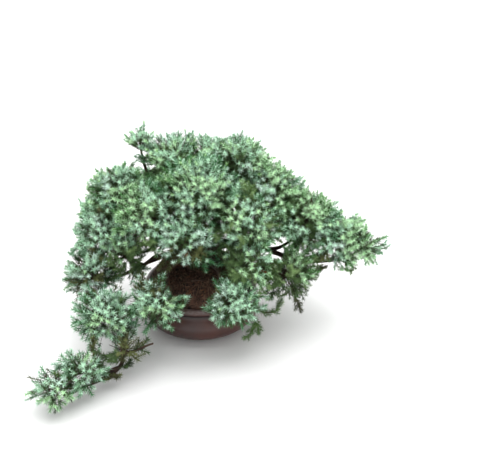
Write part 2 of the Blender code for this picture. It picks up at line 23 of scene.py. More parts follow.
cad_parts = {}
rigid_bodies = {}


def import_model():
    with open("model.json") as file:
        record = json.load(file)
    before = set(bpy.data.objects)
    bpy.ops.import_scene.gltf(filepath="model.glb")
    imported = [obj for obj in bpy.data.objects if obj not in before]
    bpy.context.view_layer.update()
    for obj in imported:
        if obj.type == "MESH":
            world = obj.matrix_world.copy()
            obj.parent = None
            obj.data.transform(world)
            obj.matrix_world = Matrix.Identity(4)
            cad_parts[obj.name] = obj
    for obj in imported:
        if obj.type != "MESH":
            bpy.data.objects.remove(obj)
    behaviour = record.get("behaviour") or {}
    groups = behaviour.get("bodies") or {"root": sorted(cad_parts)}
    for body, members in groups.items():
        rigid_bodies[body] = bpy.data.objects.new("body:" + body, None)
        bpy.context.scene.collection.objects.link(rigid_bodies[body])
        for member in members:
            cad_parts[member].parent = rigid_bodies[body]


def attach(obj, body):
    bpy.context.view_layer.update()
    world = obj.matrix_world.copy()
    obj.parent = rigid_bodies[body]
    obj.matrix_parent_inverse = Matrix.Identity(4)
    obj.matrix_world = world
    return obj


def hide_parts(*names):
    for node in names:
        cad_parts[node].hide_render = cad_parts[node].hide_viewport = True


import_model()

LOG = logging.getLogger("garden_juniper")
MM = 0.001
BODY = "root"
GOLDEN_ANGLE = math.pi * (3.0 - math.sqrt(5.0))
UP = Vector((0.0, 0.0, 1.0))
STEM_STEP = 4.0 * MM
FRONT = -20.0 * MM

Colour = tuple[float, float, float]
Point = tuple[float, float, float]
Pair = tuple[float, float]
Route = list[Vector]
Array = np.ndarray
Shape = bmesh.types.BMesh
Mesh = bpy.types.Mesh
Material = bpy.types.Material


def srgb(red: int, green: int, blue: int) -> Colour:
    """Turns a colour read off a screen into linear light.

    Args:
        red: The red channel, 0 to 255.
        green: The green channel, 0 to 255.
        blue: The blue channel, 0 to 255.

    Returns:
        The same colour as linear values from 0 to 1.
    """

    def linear(channel: int) -> float:
        """Undoes the screen's curve for one channel."""
        share = channel / 255.0
        return share / 12.92 if share <= 0.04045 else ((share + 0.055) / 1.055) ** 2.4

    return linear(red), linear(green), linear(blue)


def overload(operation: str, reflected: bool = False) -> Callable[["Sock", "Sock | float"], "Sock"]:
    """Makes an operator of Sock.

    Args:
        operation: What its Math node does.
        reflected: Whether the other value comes first.

    Returns:
        The method.
    """

    def method(self: "Sock", other: "Sock | float") -> "Sock":
        """Adds one Math node for this value and another."""
        first, second = (other, self) if reflected else (self, other)
        return self.web.node("ShaderNodeMath", {"operation": operation}, {0: first, 1: second})

    return method


class Sock:
    """A shader value that takes part in sums written as Python expressions."""

    def __init__(self, web: "Web", link: bpy.types.NodeSocket) -> None:
        """Wraps an output socket of a node in web."""
        self.web = web
        self.link = link

    __add__ = overload("ADD")
    __radd__ = overload("ADD", reflected=True)
    __rsub__ = overload("SUBTRACT", reflected=True)
    __mul__ = overload("MULTIPLY")
    __rmul__ = overload("MULTIPLY", reflected=True)


class Web:
    """The node tree of one material, with its Principled shader."""

    def __init__(self, name: str, roughness: float) -> None:
        """Starts a material.

        Args:
            name: The material's name.
            roughness: Its roughness where nothing else is said.
        """
        self.material = bpy.data.materials.new(name)
        self.material.use_nodes = True
        self.tree = self.material.node_tree
        self.shader = self.tree.nodes["Principled BSDF"]
        self.shader.inputs["Roughness"].default_value = roughness

    def node(
        self, kind: str, settings: dict | None = None, inputs: dict | None = None, out: int | str = 0
    ) -> Sock:
        """Adds a node.

        Args:
            kind: The node's type.
            settings: Attributes to set first.
            inputs: Values or links by the socket's name or number.
            out: The name or number of the output to hand back.

        Returns:
            The chosen output.
        """
        made = self.tree.nodes.new(kind)
        for key, value in (settings or {}).items():
            setattr(made, key, value)
        for key, value in (inputs or {}).items():
            self._feed(made.inputs[key], value)
        return Sock(self, made.outputs[out])

    def _feed(self, socket: bpy.types.NodeSocket, value: "Sock | float | Colour") -> None:
        """Links or sets one input.

        Args:
            socket: The input.
            value: A socket to link, or a value to set.
        """
        if isinstance(value, Sock):
            self.tree.links.new(value.link, socket)
        elif isinstance(value, tuple) and socket.type == "RGBA":
            socket.default_value = (*value, 1.0)
        else:
            socket.default_value = value

    def place(self, stretch: Point = (1.0, 1.0, 1.0)) -> Sock:
        """Object coordinates, scaled by stretch."""
        found = self.node("ShaderNodeTexCoord", out="Object")
        return self.node("ShaderNodeMapping", inputs={"Vector": found, "Scale": stretch})

    def grain(self, place: Sock, scale: float, detail: float = 3.0, rough: float = 0.55) -> Sock:
        """A noise value between 0 and 1."""
        inputs = {"Vector": place, "Scale": scale, "Detail": detail, "Roughness": rough}
        return self.node("ShaderNodeTexNoise", inputs=inputs)

    def level(self, factor: Sock, low: float, high: float) -> Sock:
        """A mask that rises from 0 at low to 1 at high."""
        inputs = {"Value": factor, "From Min": low, "From Max": high}
        return self.node("ShaderNodeMapRange", {"clamp": True}, inputs)

    def mix(self, factor: Sock | float, first: Sock | Colour, second: Sock | Colour) -> Sock:
        """Mixes two colours."""
        settings = {"data_type": "RGBA"}
        return self.node("ShaderNodeMix", settings, {"Factor": factor, 6: first, 7: second}, out=2)

    def bump(self, height: Sock, strength: float, distance: float) -> None:
        """Feeds a height through a Bump node into the shader's normal."""
        inputs = {"Height": height, "Strength": strength, "Distance": distance}
        self.finish("Normal", self.node("ShaderNodeBump", inputs=inputs))

    def finish(self, name: str, value: Sock | float | Colour) -> None:
        """Sets or links one input of the Principled shader."""
        self._feed(self.shader.inputs[name], value)


@dataclass(frozen=True)
class StonewareFinish:
    """A dark brown, softly shining glaze that breaks to red-brown where it runs thin.

    It has a painted highlight on the lip and painted shade in the groove under the lip.
    """

    body: Colour = srgb(54, 31, 27)
    thin: Colour = srgb(80, 42, 33)
    lip_highlight: Colour = srgb(112, 100, 97)
    groove_shade: Colour = srgb(24, 14, 12)
    roughness: float = 0.36
    foot_fade: Pair = (3.0 * MM, 13.0 * MM)
    groove_shade_foot: Pair = (36.0 * MM, 40.0 * MM)
    groove_shade_top: Pair = (42.0 * MM, 44.5 * MM)
    lip_highlight_fade: Pair = (44.5 * MM, 48.0 * MM)
    coat: float = 0.12
    coat_roughness: float = 0.22
    relief: float = 0.6 * MM

    def build(self) -> Material:
        """Makes the material.

        Returns:
            The material.
        """
        web = Web("stoneware_glaze", self.roughness)
        place = web.place()
        broad = web.grain(place, 22.0, 4.0)
        fine = web.grain(web.place((1.0, 1.0, 3.0)), 260.0, 3.0)
        height = web.node("ShaderNodeSeparateXYZ", inputs={0: place}, out="Z")
        lip = web.level(height, *self.lip_highlight_fade)
        foot = 1.0 - web.level(height, *self.foot_fade)
        base = web.mix(web.level(broad, 0.40, 0.68), self.body, self.thin)
        base = web.mix(foot * 0.55, base, self.thin)
        # Painted highlight: the lip's top few millimetres are lightened to the pale lip colour, broken by
        # the fine grain.
        base = web.mix(lip * web.level(fine, 0.30, 0.75) * 0.85, base, self.lip_highlight)
        # Painted shade: the groove under the lip is darkened to a near-black brown, where the lip shades it.
        groove = web.level(height, *self.groove_shade_foot) * (1.0 - web.level(height, *self.groove_shade_top))
        base = web.mix(groove * 0.9, base, self.groove_shade)
        web.finish("Base Color", base)
        web.finish("Roughness", 0.28 + 0.22 * broad + 0.10 * fine)
        web.shader.inputs["Coat Weight"].default_value = self.coat
        web.shader.inputs["Coat Roughness"].default_value = self.coat_roughness
        web.bump(0.7 * fine + 0.6 * broad, 0.35, self.relief)
        return web.material


@dataclass(frozen=True)
class PeatFinish:
    """Dry brown peat with darker hollows and fawn fibres."""

    deep: Colour = srgb(30, 19, 14)
    body: Colour = srgb(84, 56, 43)
    dry: Colour = srgb(134, 104, 84)
    roughness: float = 0.95
    clod_pitch: float = 90.0
    thread_pitch: float = 420.0
    relief: float = 1.6 * MM

    def build(self) -> Material:
        """Makes the material.

        Returns:
            The material.
        """
        web = Web("peat_soil", self.roughness)
        place = web.place()
        clods = web.grain(place, self.clod_pitch, 5.0, 0.65)
        threads = web.grain(web.place((1.0, 3.0, 1.0)), self.thread_pitch, 4.0, 0.7)
        tone = web.mix(web.level(clods, 0.36, 0.60), self.deep, self.body)
        tone = web.mix(web.level(threads, 0.54, 0.72), tone, self.dry)
        web.finish("Base Color", tone)
        web.bump(clods + 0.5 * threads, 0.9, self.relief)
        return web.material


@dataclass(frozen=True)
class BarkFinish:
    """Grey-brown bark in long strips, redder in the cracks."""

    crack: Colour = srgb(38, 24, 18)
    strip: Colour = srgb(74, 55, 43)
    worn: Colour = srgb(108, 90, 74)
    roughness: float = 0.88
    strip_pitch: float = 120.0
    flake_pitch: float = 700.0
    relief: float = 0.7 * MM

    def build(self) -> Material:
        """Makes the material.

        Returns:
            The material.
        """
        web = Web("strip_bark", self.roughness)
        place = web.place()
        broad = web.grain(place, self.strip_pitch, 4.0, 0.6)
        fine = web.grain(place, self.flake_pitch, 4.0, 0.7)
        tone = web.mix(web.level(broad, 0.38, 0.60), self.crack, self.strip)
        tone = web.mix(web.level(fine, 0.55, 0.75), tone, self.worn)
        web.finish("Base Color", tone)
        web.bump(broad + 0.6 * fine, 0.8, self.relief)
        return web.material


@dataclass(frozen=True)
class PlainFinish:
    """One even colour, for things too small to show a pattern."""

    name: str
    colour: Colour
    roughness: float = 0.6
    specular: float = 0.35

    def build(self) -> Material:
        """Makes the material.

        Returns:
            The material.
        """
        web = Web(self.name, self.roughness)
        web.finish("Base Color", self.colour)
        web.shader.inputs["Specular IOR Level"].default_value = self.specular
        return web.material

    @staticmethod
    def row(roughness: float, **colours: Colour) -> list[Material]:
        """Makes one material for each named colour."""
        return [PlainFinish(name, colour, roughness).build() for name, colour in colours.items()]


class Tone(Enum):
    """The tints that shoots are dealt: the upper and the under side of their needles."""

    FRESH = ("fresh", srgb(208, 250, 200), srgb(74, 130, 66))
    GLAUCOUS = ("glaucous", srgb(206, 248, 216), srgb(70, 126, 78))
    FROSTED = ("frosted", srgb(222, 250, 234), srgb(82, 138, 92))
    BUD = ("bud", srgb(206, 244, 196), srgb(112, 162, 84))
    MOSS = ("moss", srgb(140, 172, 112), srgb(68, 98, 46))
    # A dark tint that paints shade on shoots inside and under the foliage and on the lower needles of bright
    # shoots.
    SHADED = ("shaded", srgb(84, 112, 66), srgb(42, 62, 28))
    OLIVE = ("olive", srgb(104, 112, 68), srgb(66, 68, 38))
    DEAD = ("dead", srgb(138, 92, 58), srgb(100, 64, 40))

    @property
    def upper(self) -> PlainFinish:
        """The pale side, which faces along the shoot."""
        return PlainFinish("needle_%s_upper" % self.value[0], self.value[1], 0.55)

    @property
    def under(self) -> PlainFinish:
        """The green side, which faces away from the shoot."""
        return PlainFinish("needle_%s_under" % self.value[0], self.value[2], 0.48)


@dataclass(frozen=True)
class Mass:
    """One mass of foliage: its ellipsoid, how many sprays it has for its size, and its tints.

    The ellipsoid is in millimetres, turned about the vertical by turn degrees.
    """

    name: str
    centre: Point
    half: Point
    turn: float = 0.0
    fullness: float = 1.0
    tints: str = "crown"
    lift: float = 0.0


@dataclass(frozen=True)
class Limb:
    """One bough: its parent, where it leaves that, its radius, its sag, and points it passes, in mm."""

    name: str
    parent: str
    share: float
    radius: float
    sag: float = 0.10
    via: tuple[Point, ...] = ()


@dataclass(frozen=True)
class Stray:
    """A twig that hangs or lies apart from the masses: its points, radius and shoots, in millimetres."""

    points: tuple[Point, ...]
    radius: float
    tone: Tone | None = None
    bare: float = 0.25
    shoot: float = 9.0


@dataclass(frozen=True)
class Opening:
    """A gap through the foliage: the middles of its near and far ends, and its radius, in mm."""

    near: Point
    far: Point
    radius: float

    def holds(self, point: Vector) -> bool:
        """Whether a point is inside the gap.

        Args:
            point: The point, in metres.

        Returns:
            True if it is.
        """
        near = Vector(self.near) * MM
        run = Vector(self.far) * MM - near
        share = min(max((point - near).dot(run) / run.length_squared, 0.0), 1.0)
        return (point - near - run * share).length < self.radius * MM


MASSES = (
    Mass("crown", (2, -4, 172), (54, 48, 44)),
    Mass("spray_top_left", (-72, 62, 200), (24, 21, 30), -25.0, lift=1.2),
    Mass("top_left", (-34, 50, 187), (42, 47, 39)),
    Mass("top_middle", (10, 66, 175), (52, 50, 40)),
    Mass("top_right", (45, 44, 187), (47, 48, 38)),
    Mass("shoulder_high", (86, 22, 159), (43, 46, 39)),
    Mass("shoulder_low", (128, 8, 130), (44, 48, 40)),
    Mass("right_outer", (165, 3, 106), (41, 40, 42)),
    Mass("right_tip", (194, -8, 102), (31, 26, 23)),
    Mass("left_high", (-95, 24, 157), (44, 44, 39)),
    Mass("left_middle", (-115, -6, 121), (40, 46, 39), tints="flank"),
    Mass("left_low", (-128, -38, 81), (38, 38, 34), tints="flank"),
    Mass("inner_left", (-84, -26, 100), (36, 33, 33), tints="shade"),
    Mass("centre_left", (-54, -14, 144), (52, 46, 43), tints="middle"),
    Mass("centre_right", (54, -18, 141), (52, 46, 45), tints="middle"),
    Mass("front_middle", (-15, -46, 126), (40, 36, 39), tints="flank"),
    Mass("front_right", (58, -48, 103), (42, 38, 37), tints="shade"),
    Mass("front_right_low", (40, -84, 72), (41, 29, 27), tints="flank"),
    Mass("right_low", (106, -30, 77), (50, 31, 35), 40.0, tints="shade"),
    Mass("front_left", (-103, -88, 58), (40, 38, 38), tints="flank"),
    Mass("front_left_inner", (-45, -81, 71), (42, 34, 38), tints="flank"),
    Mass("trailing_sparse", (-78, -124, 40), (32, 22, 16), 30.0, 1.0, "spent"),
    Mass("trailing_clump", (-120, -149, 30), (33, 26, 24), 25.0, 1.0, "flank"),
    Mass("trailing_tip", (-145, -168, 24), (36, 25, 22), 25.0, 1.1, "flank"),
    Mass("back_left", (-62, 102, 120), (50, 44, 38)),
    Mass("back_middle", (2, 116, 128), (48, 42, 42)),
    Mass("back_right", (66, 98, 126), (48, 44, 42)),
    Mass("left_back", (-116, 70, 110), (46, 44, 38)),
    Mass("right_back", (124, 66, 98), (46, 44, 38)),
)

LIMBS = (
    Limb("front_left", "trunk", 0.20, 4.4, via=((-38, -34, 88),)),
    Limb("front_right_low", "trunk", 0.16, 3.4, via=((22, -42, 88),)),
    Limb("left_low", "trunk", 0.36, 3.8, 0.02, ((-52, -4, 84),)),
    Limb("inner_left", "left_low", 0.40, 2.4, 0.0),
    Limb("right_low", "trunk", 0.34, 3.4, -0.06),
    Limb("right_back", "trunk", 0.28, 3.6, 0.02),
    Limb("left_back", "trunk", 0.50, 3.6),
    Limb("right_tip", "trunk", 0.52, 4.6, via=((62, 6, 96), (136, 4, 75))),
    Limb("back_middle", "trunk", 0.45, 3.8),
    Limb("left_middle", "trunk", 0.64, 3.8, 0.08),
    Limb("front_right", "trunk", 0.70, 3.0),
    Limb("back_left", "trunk", 0.68, 3.4),
    Limb("back_right", "trunk", 0.62, 3.4),
    Limb("front_middle", "trunk", 0.78, 2.8, 0.0),
    Limb("shoulder_high", "trunk", 0.80, 3.4, 0.12),
    Limb("left_high", "trunk", 0.84, 3.4, 0.12),
    Limb("top_middle", "trunk", 0.88, 3.2),
    Limb("top_left", "left_high", 0.24, 2.8, 0.0),
    Limb("top_right", "shoulder_high", 0.24, 2.8, 0.0),
    Limb("spray_top_left", "left_high", 0.60, 2.4, 0.02),
    Limb("centre_left", "left_middle", 0.24, 2.6, 0.0),
    Limb("centre_right", "right_tip", 0.16, 2.6, 0.0),
    Limb("shoulder_low", "right_tip", 0.45, 2.8, 0.05),
    Limb("right_outer", "right_tip", 0.66, 2.4, 0.04),
    Limb("front_left_inner", "front_left", 0.46, 2.6, -0.08),
    Limb("trailing_tip", "front_left", 0.62, 3.2, via=((-80, -92, 44), (-86, -120, 13), (-120, -148, 7))),
    Limb("trailing_sparse", "trailing_tip", 0.44, 2.0, 0.0),
    Limb("trailing_clump", "trailing_tip", 0.66, 2.0, 0.0),
)

STRAYS = (
    Stray(((56, -79, 66), (64, -80, 50), (64, -80, 36), (55, -82, 24)), 1.1, Tone.MOSS, 0.25, 7.0),
    Stray(((64, -80, 50), (67, -80, 42), (70, -80, 31)), 0.8, Tone.MOSS, 0.25, 7.0),
    Stray(((106, -22, 62), (114, -25, 46), (120, -28, 28)), 1.0, Tone.OLIVE),
    Stray(((62, -66, 57), (74, -62, 46), (89, -56, 42), (96, -50, 53)), 0.9, Tone.MOSS, 0.1, 7.0),
    Stray(((33, -76, 76), (39, -82, 64), (39, -86, 49)), 0.9, Tone.MOSS, 0.2),
    Stray(((44, -76, 74), (53, -82, 66), (48, -86, 52)), 0.9, Tone.OLIVE, 0.2),
    Stray(
        ((160, 4, 78), (172, 2, 76), (182, 0, 73), (187, -3, 69), (181, -6, 67), (175, -7, 71)), 1.0,
        Tone.MOSS,
    ),
    Stray(((118, -14, 58), (127, -10, 61), (138, -4, 64), (150, 2, 67)), 1.6, Tone.OLIVE, 0.0, 8.0),
    Stray(((-86, -122, 30), (-75, -120, 33), (-66, -118, 34), (-57, -115, 37), (-48, -111, 38)), 2.0),
    Stray(((-66, -118, 34), (-63, -121, 38), (-58, -122, 39)), 1.3),
    Stray(
        ((-100, -133, 12), (-106, -135, 30), (-111, -131, 47), (-110, -128, 56)), 0.8,
        Tone.OLIVE, 0.2, 6.0,
    ),
    Stray(((-96, -130, 12), (-97, -138, 20), (-106, -136, 31)), 0.7, Tone.SHADED, 0.1, 6.0),
    Stray(((-86, -120, 14), (-82, -122, 24), (-78, -118, 34), (-80, -112, 44)), 0.8, Tone.OLIVE, 0.1, 6.0),
    Stray(((-84, -118, 16), (-80, -124, 14), (-74, -118, 18)), 0.7, Tone.SHADED, 0.1, 6.0),
    Stray(((-92, -128, 12), (-88, -134, 14), (-85, -138, 14), (-97, -142, 16)), 0.7, Tone.OLIVE, 0.1, 6.0),
    Stray(((-9, -38, 73), (-3, -39, 74.6), (3, -38, 74.6), (6, -37, 73)), 1.3),
)

OPENINGS = (
    Opening((-15, -100, 115), (-21, -40, 76), 17),
    Opening((-69, -115, 98), (-100, 60, -23), 5.5),
    Opening((89, -80, 138), (99, 90, 36), 8.5),
    Opening((-55, 0, 200), (-69, 110, 149), 5),
    Opening((-67, 30, 206), (-75, 90, 180), 4.5),
    Opening((-90, -150, 64), (-110, -60, -7), 8),
    Opening((-51, -70, 123), (-69, 60, 43), 7),
)

TINT_SHARES: dict[str, tuple[tuple[Tone, float], ...]] = {
    "crown": ((Tone.FRESH, 0.46), (Tone.GLAUCOUS, 0.30), (Tone.FROSTED, 0.24)),
    "flank": ((Tone.FRESH, 0.18), (Tone.GLAUCOUS, 0.46), (Tone.FROSTED, 0.34), (Tone.OLIVE, 0.02)),
    "middle": ((Tone.FRESH, 0.48), (Tone.GLAUCOUS, 0.38), (Tone.MOSS, 0.14)),
    "shade": ((Tone.GLAUCOUS, 0.34), (Tone.FRESH, 0.24), (Tone.MOSS, 0.20), (Tone.SHADED, 0.22)),
    "spent": ((Tone.OLIVE, 0.46), (Tone.SHADED, 0.42), (Tone.DEAD, 0.12)),
}
# Dark tints dealt to shoots inside and underneath the foliage: painted shade, with some real olive and dead
# shoots.
DARK_SHARES = ((Tone.SHADED, Tone.MOSS, Tone.OLIVE, Tone.DEAD), (0.60, 0.20, 0.185, 0.015))


class Spaces:
    """The ellipsoids that the masses keep to."""

    def __init__(self) -> None:
        """Reads the masses into arrays."""
        self.centres = np.array([m.centre for m in MASSES]) * MM
        self.halves = np.array([m.half for m in MASSES]) * MM
        self.turns = np.radians([m.turn for m in MASSES])
        self.sizes = np.prod(self.halves, axis=1) ** (1.0 / 3.0)
        self.index = {m.name: k for k, m in enumerate(MASSES)}
        self.blend = 8.0 * MM

    def _local(self, away: Array) -> Array:
        """Turns offsets from each centre into that mass's own measure, where 1 is its edge.

        Args:
            away: For each mass, rows of offsets from its centre.

        Returns:
            The same rows, turned with the mass and divided by its half sizes.
        """
        c, s = np.cos(self.turns)[:, None], np.sin(self.turns)[:, None]
        x = away[..., 0] * c + away[..., 1] * s
        y = away[..., 1] * c - away[..., 0] * s
        return np.stack([x, y, away[..., 2]], axis=-1) / self.halves[:, None, :]

    def reach(self, points: Array) -> Array:
        """How far out points lie in each mass.

        Args:
            points: Points, one to a row.

        Returns:
            One row for each mass: 0 at its middle and 1 at its edge.
        """
        return np.linalg.norm(self._local(points[None] - self.centres[:, None]), axis=-1)

    def depths(self, point: Vector) -> Array:
        """How far a point lies inside each mass; less than 0 outside it."""
        return (1.0 - self.reach(np.array([point]))[:, 0]) * self.sizes

    def depth(self, point: Vector) -> float:
        """How far a point lies inside the foliage as a whole."""
        return float(self.depths(point).max())

    def blended(self, depths: Array) -> float:
        """The depth inside all the masses together, with the valleys between them filled."""
        top = depths.max()
        return float(top + self.blend * math.log(np.exp((depths - top) / self.blend).sum()))

    def run(self, index: int, start: Vector, heading: Vector) -> float:
        """How far it is from start along heading to the edge of one mass.

        Args:
            index: The mass's place in the list.
            start: Where the line starts.
            heading: Its unit vector.

        Returns:
            The distance, or 0 where the line misses the mass.
        """
        rows = np.repeat(self.centres[:, None], 2, axis=1)
        rows[:, 0] = np.array(start) - self.centres
        rows[:, 1] = np.array(heading)
        near, step = self._local(rows)[index]
        a, b, c = step @ step, near @ step, near @ near - 1.0
        inner = b * b - a * c
        return float((-b + math.sqrt(inner)) / a) if inner > 0.0 else 0.0


@dataclass
class Skeleton:
    """The trunk and boughs as routes with radii, and where each mass's stem starts."""

    foot: Vector = field(default_factory=lambda: Vector((2.0, 6.0, 74.3)) * MM)
    steps: tuple[tuple[float, ...], ...] = (
        (0, 0, 0, 13.5),
        (0, 0, 5, 11.0),
        (1, 1, 15, 9.6),
        (0, 3, 28, 8.6),
        (-3, 4, 41, 7.6),
        (-5, 2, 53, 6.2),
    )
    point_every: float = 20.0 * MM
    tip_radius: float = 1.7 * MM
    crook: float = 1.6 * MM
    clear: float = 0.3 * MM
    stem_reach: float = 0.86
    stem_drop: float = 0.45
    seed: int = 41
    routes: dict[str, Route] = field(default_factory=dict)
    radii: dict[str, list[float]] = field(default_factory=dict)
    stems: dict[str, tuple[Vector, Vector]] = field(default_factory=dict)

    def at(self, name: str, share: float) -> Vector:
        """The point at that share of a limb's length.

        Args:
            name: The limb.
            share: How far along it, from 0 at its foot to 1 at its tip.

        Returns:
            The point.
        """
        route = self.routes[name]
        lengths = [(b - a).length for a, b in zip(route, route[1:])]
        left = share * sum(lengths)
        for a, b, length in zip(route, route[1:], lengths):
            if left <= length:
                return a.lerp(b, left / length)
            left -= length
        return route[-1].copy()

    def stem_root(self, spaces: Spaces, index: int, source: Vector) -> Vector:
        """Where a mass's stem begins: in the edge of its space, towards its limb and a little below.

        Args:
            spaces: The masses' spaces.
            index: The mass's place in the list.
            source: The last point that its limb passes.

        Returns:
            The stem's first point.
        """
        centre = Vector(spaces.centres[index])
        way = (source - centre).normalized() - UP * self.stem_drop
        way.normalize()
        reach = 1.0 / max(spaces.reach(np.array([centre + way]))[index, 0], 1e-6)
        return centre + way * reach * self.stem_reach

    def plan(self, spaces: Spaces) -> None:
        """Works out every route by the rule of the plain solids.

        Args:
            spaces: The masses' spaces.
        """
        self.routes["trunk"] = [self.foot + Vector(step[:3]) * MM for step in self.steps]
        self.radii["trunk"] = [step[3] * MM for step in self.steps]
        dice = random.Random(self.seed)
        for limb in LIMBS:
            start = self.at(limb.parent, limb.share)
            passing = [Vector(point) * MM for point in limb.via]
            root = self.stem_root(spaces, spaces.index[limb.name], passing[-1] if passing else start)
            if not passing:
                passing = [start.lerp(root, 0.5) - UP * limb.sag * (root - start).length]
            route = smooth_route([start, *passing, root], self.point_every)
            for point in route[1:-1]:
                point += Vector([dice.uniform(-1.0, 1.0) for _ in range(3)]) * self.crook
            shares = [k / (len(route) - 1) for k in range(len(route))]
            wide = limb.radius * MM
            self.radii[limb.name] = [wide + (self.tip_radius - wide) * share**0.8 for share in shares]
            heading = (route[-1] - route[-2]).normalized()
            self.stems[limb.name] = (root, heading)
            route[-1] = root - heading * self.clear
            self.routes[limb.name] = route
        top, below = self.routes["trunk"][-1], self.routes["trunk"][-2]
        self.stems["crown"] = (top, (top - below).normalized())


def smooth_route(points: Route, every: float) -> Route:
    """A Catmull-Rom curve through points, with both ends kept.

    Args:
        points: What it passes through.
        every: About how far apart it is read.

    Returns:
        The points read.
    """
    padded = [points[0] * 2 - points[1], *points, points[-1] * 2 - points[-2]]
    route = []
    for a, b, c, d in zip(padded, padded[1:], padded[2:], padded[3:]):
        steps = max(1, round((c - b).length / every))
        for k in range(steps):
            t = k / steps
            bend = (2 * a - 5 * b + 4 * c - d) * t * t + (3 * b - a - 3 * c + d) * t**3
            route.append(0.5 * (2 * b + (c - a) * t + bend))
    route.append(points[-1].copy())
    return route


def stray_route(stray: Stray) -> Route:
    """A stray twig's centre line, in metres."""
    return smooth_route([Vector(point) * MM for point in stray.points], 5.0 * MM)


def new_piece(name: str, mesh: Mesh, finishes: list[Material], slot: str) -> bpy.types.Object:
    """Makes a piece at the origin, riding on the plant's one body.

    Args:
        name: The piece's name.
        mesh: Its mesh, already in place.
        finishes: Its materials, in the order of the mesh's slots.
        slot: The record's material slot; not used.

    Returns:
        The new object.
    """
    piece = bpy.data.objects.new(name, mesh)
    bpy.context.scene.collection.objects.link(piece)
    for finish in finishes:
        mesh.materials.append(finish)
    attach(piece, BODY)
    LOG.info("%s: %d faces", name, len(mesh.polygons))
    return piece


def shape_mesh(name: str, shape: Shape) -> Mesh:
    """Turns a bmesh into a mesh and frees it.

    Args:
        name: The mesh's name.
        shape: The bmesh.

    Returns:
        The mesh, shaded smooth.
    """
    bmesh.ops.recalc_face_normals(shape, faces=shape.faces)
    for face in shape.faces:
        face.smooth = True
    mesh = bpy.data.meshes.new(name)
    shape.to_mesh(mesh)
    shape.free()
    return mesh


class Stamp:
    """A small shape of triangles, and the joined mesh of many placed copies of it."""

    def __init__(self, shape: Shape) -> None:
        """Reads the shape into arrays and frees it.

        Args:
            shape: The shape, at unit size.
        """
        bmesh.ops.triangulate(shape, faces=shape.faces)
        bmesh.ops.recalc_face_normals(shape, faces=shape.faces)
        shape.verts.index_update()
        self.corners = np.array([(*v.co, 1.0) for v in shape.verts])
        self.faces = np.array([[v.index for v in f.verts] for f in shape.faces])
        self.slots = np.array([f.material_index for f in shape.faces])
        shape.free()

    def joined(self, name: str, placings: Array, first_slots: Array, smooth: bool = False) -> Mesh:
        """Joins copies into one mesh.

        Args:
            name: The mesh's name.
            placings: A 4 by 4 matrix for each copy.
            first_slots: The material slot that each copy's slot 0 stands for.
            smooth: Whether the faces are shaded smooth.

        Returns:
            The joined mesh.
        """
        count = len(placings)
        points = np.einsum("nij,kj->nki", placings, self.corners)[..., :3].reshape(-1, 3)
        faces = (self.faces[None] + (np.arange(count) * len(self.corners))[:, None, None]).reshape(-1, 3)
        slots = (self.slots[None] + first_slots[:, None]).reshape(-1)
        mesh = bpy.data.meshes.new(name)
        mesh.vertices.add(len(points))
        mesh.vertices.foreach_set("co", points.astype(np.float32).ravel())
        mesh.loops.add(faces.size)
        mesh.loops.foreach_set("vertex_index", faces.astype(np.int32).ravel())
        mesh.polygons.add(len(faces))
        mesh.polygons.foreach_set("loop_start", np.arange(0, faces.size, 3, dtype=np.int32))
        mesh.polygons.foreach_set("material_index", slots.astype(np.int32))
        mesh.polygons.foreach_set("use_smooth", np.full(len(faces), smooth))
        mesh.update(calc_edges=True)
        return mesh


def frames_along(roots: Array, axes: Array, sides: Array, scales: Array) -> Array:
    """Placing matrices whose Z runs along axes and whose Y is turned to sides.

    Args:
        roots: Where each copy's origin goes.
        axes: Unit vectors for Z.
        sides: Unit vectors square to axes, for Y.
        scales: The size along X, Y and Z of each copy.

    Returns:
        A 4 by 4 matrix for each row.
    """
    placings = np.zeros((len(roots), 4, 4))
    placings[:, :3, 0] = np.cross(sides, axes) * scales[:, :1]
    placings[:, :3, 1] = sides * scales[:, 1:2]
    placings[:, :3, 2] = axes * scales[:, 2:]
    placings[:, :3, 3] = roots
    placings[:, 3, 3] = 1.0
    return placings


def unit(rows: Array) -> Array:
    """Rows made one long."""
    return rows / np.maximum(np.linalg.norm(rows, axis=-1, keepdims=True), 1e-12)


def any_side(axes: Array) -> Array:
    """A unit vector square to each axis.

    Args:
        axes: Unit vectors.

    Returns:
        A unit vector for each of them.
    """
    level = np.abs(axes[:, 2:]) > 0.9
    guide = np.where(level, np.array([[1.0, 0.0, 0.0]]), np.array([[0.0, 0.0, 1.0]]))
    return unit(np.cross(axes, guide))


def arc(middle: Pair, half: Pair, first: float, last: float, steps: int) -> list[Pair]:
    """Points of an elliptical arc in the X and Z plane, by angle in degrees."""
    angles = np.radians(np.linspace(first, last, steps + 1))
    return [(middle[0] + half[0] * math.cos(a), middle[1] + half[1] * math.sin(a)) for a in angles]


def turned(profile: list[Pair], steps: int) -> Shape:
    """Spins a profile right round the Z axis.

    Args:
        profile: Radii and heights, in millimetres.
        steps: How many steps a full turn has.

    Returns:
        The spun bmesh, with its doubles merged.
    """
    shape = bmesh.new()
    verts = [shape.verts.new((out * MM, 0.0, height * MM)) for out, height in profile]
    edges = [shape.edges.new(pair) for pair in zip(verts, verts[1:])]
    bmesh.ops.spin(
        shape, geom=[*verts, *edges], cent=(0, 0, 0), axis=(0, 0, 1), angle=math.tau, steps=steps,
        use_merge=True,
    )
    bmesh.ops.remove_doubles(shape, verts=shape.verts, dist=0.02 * MM)
    return shape


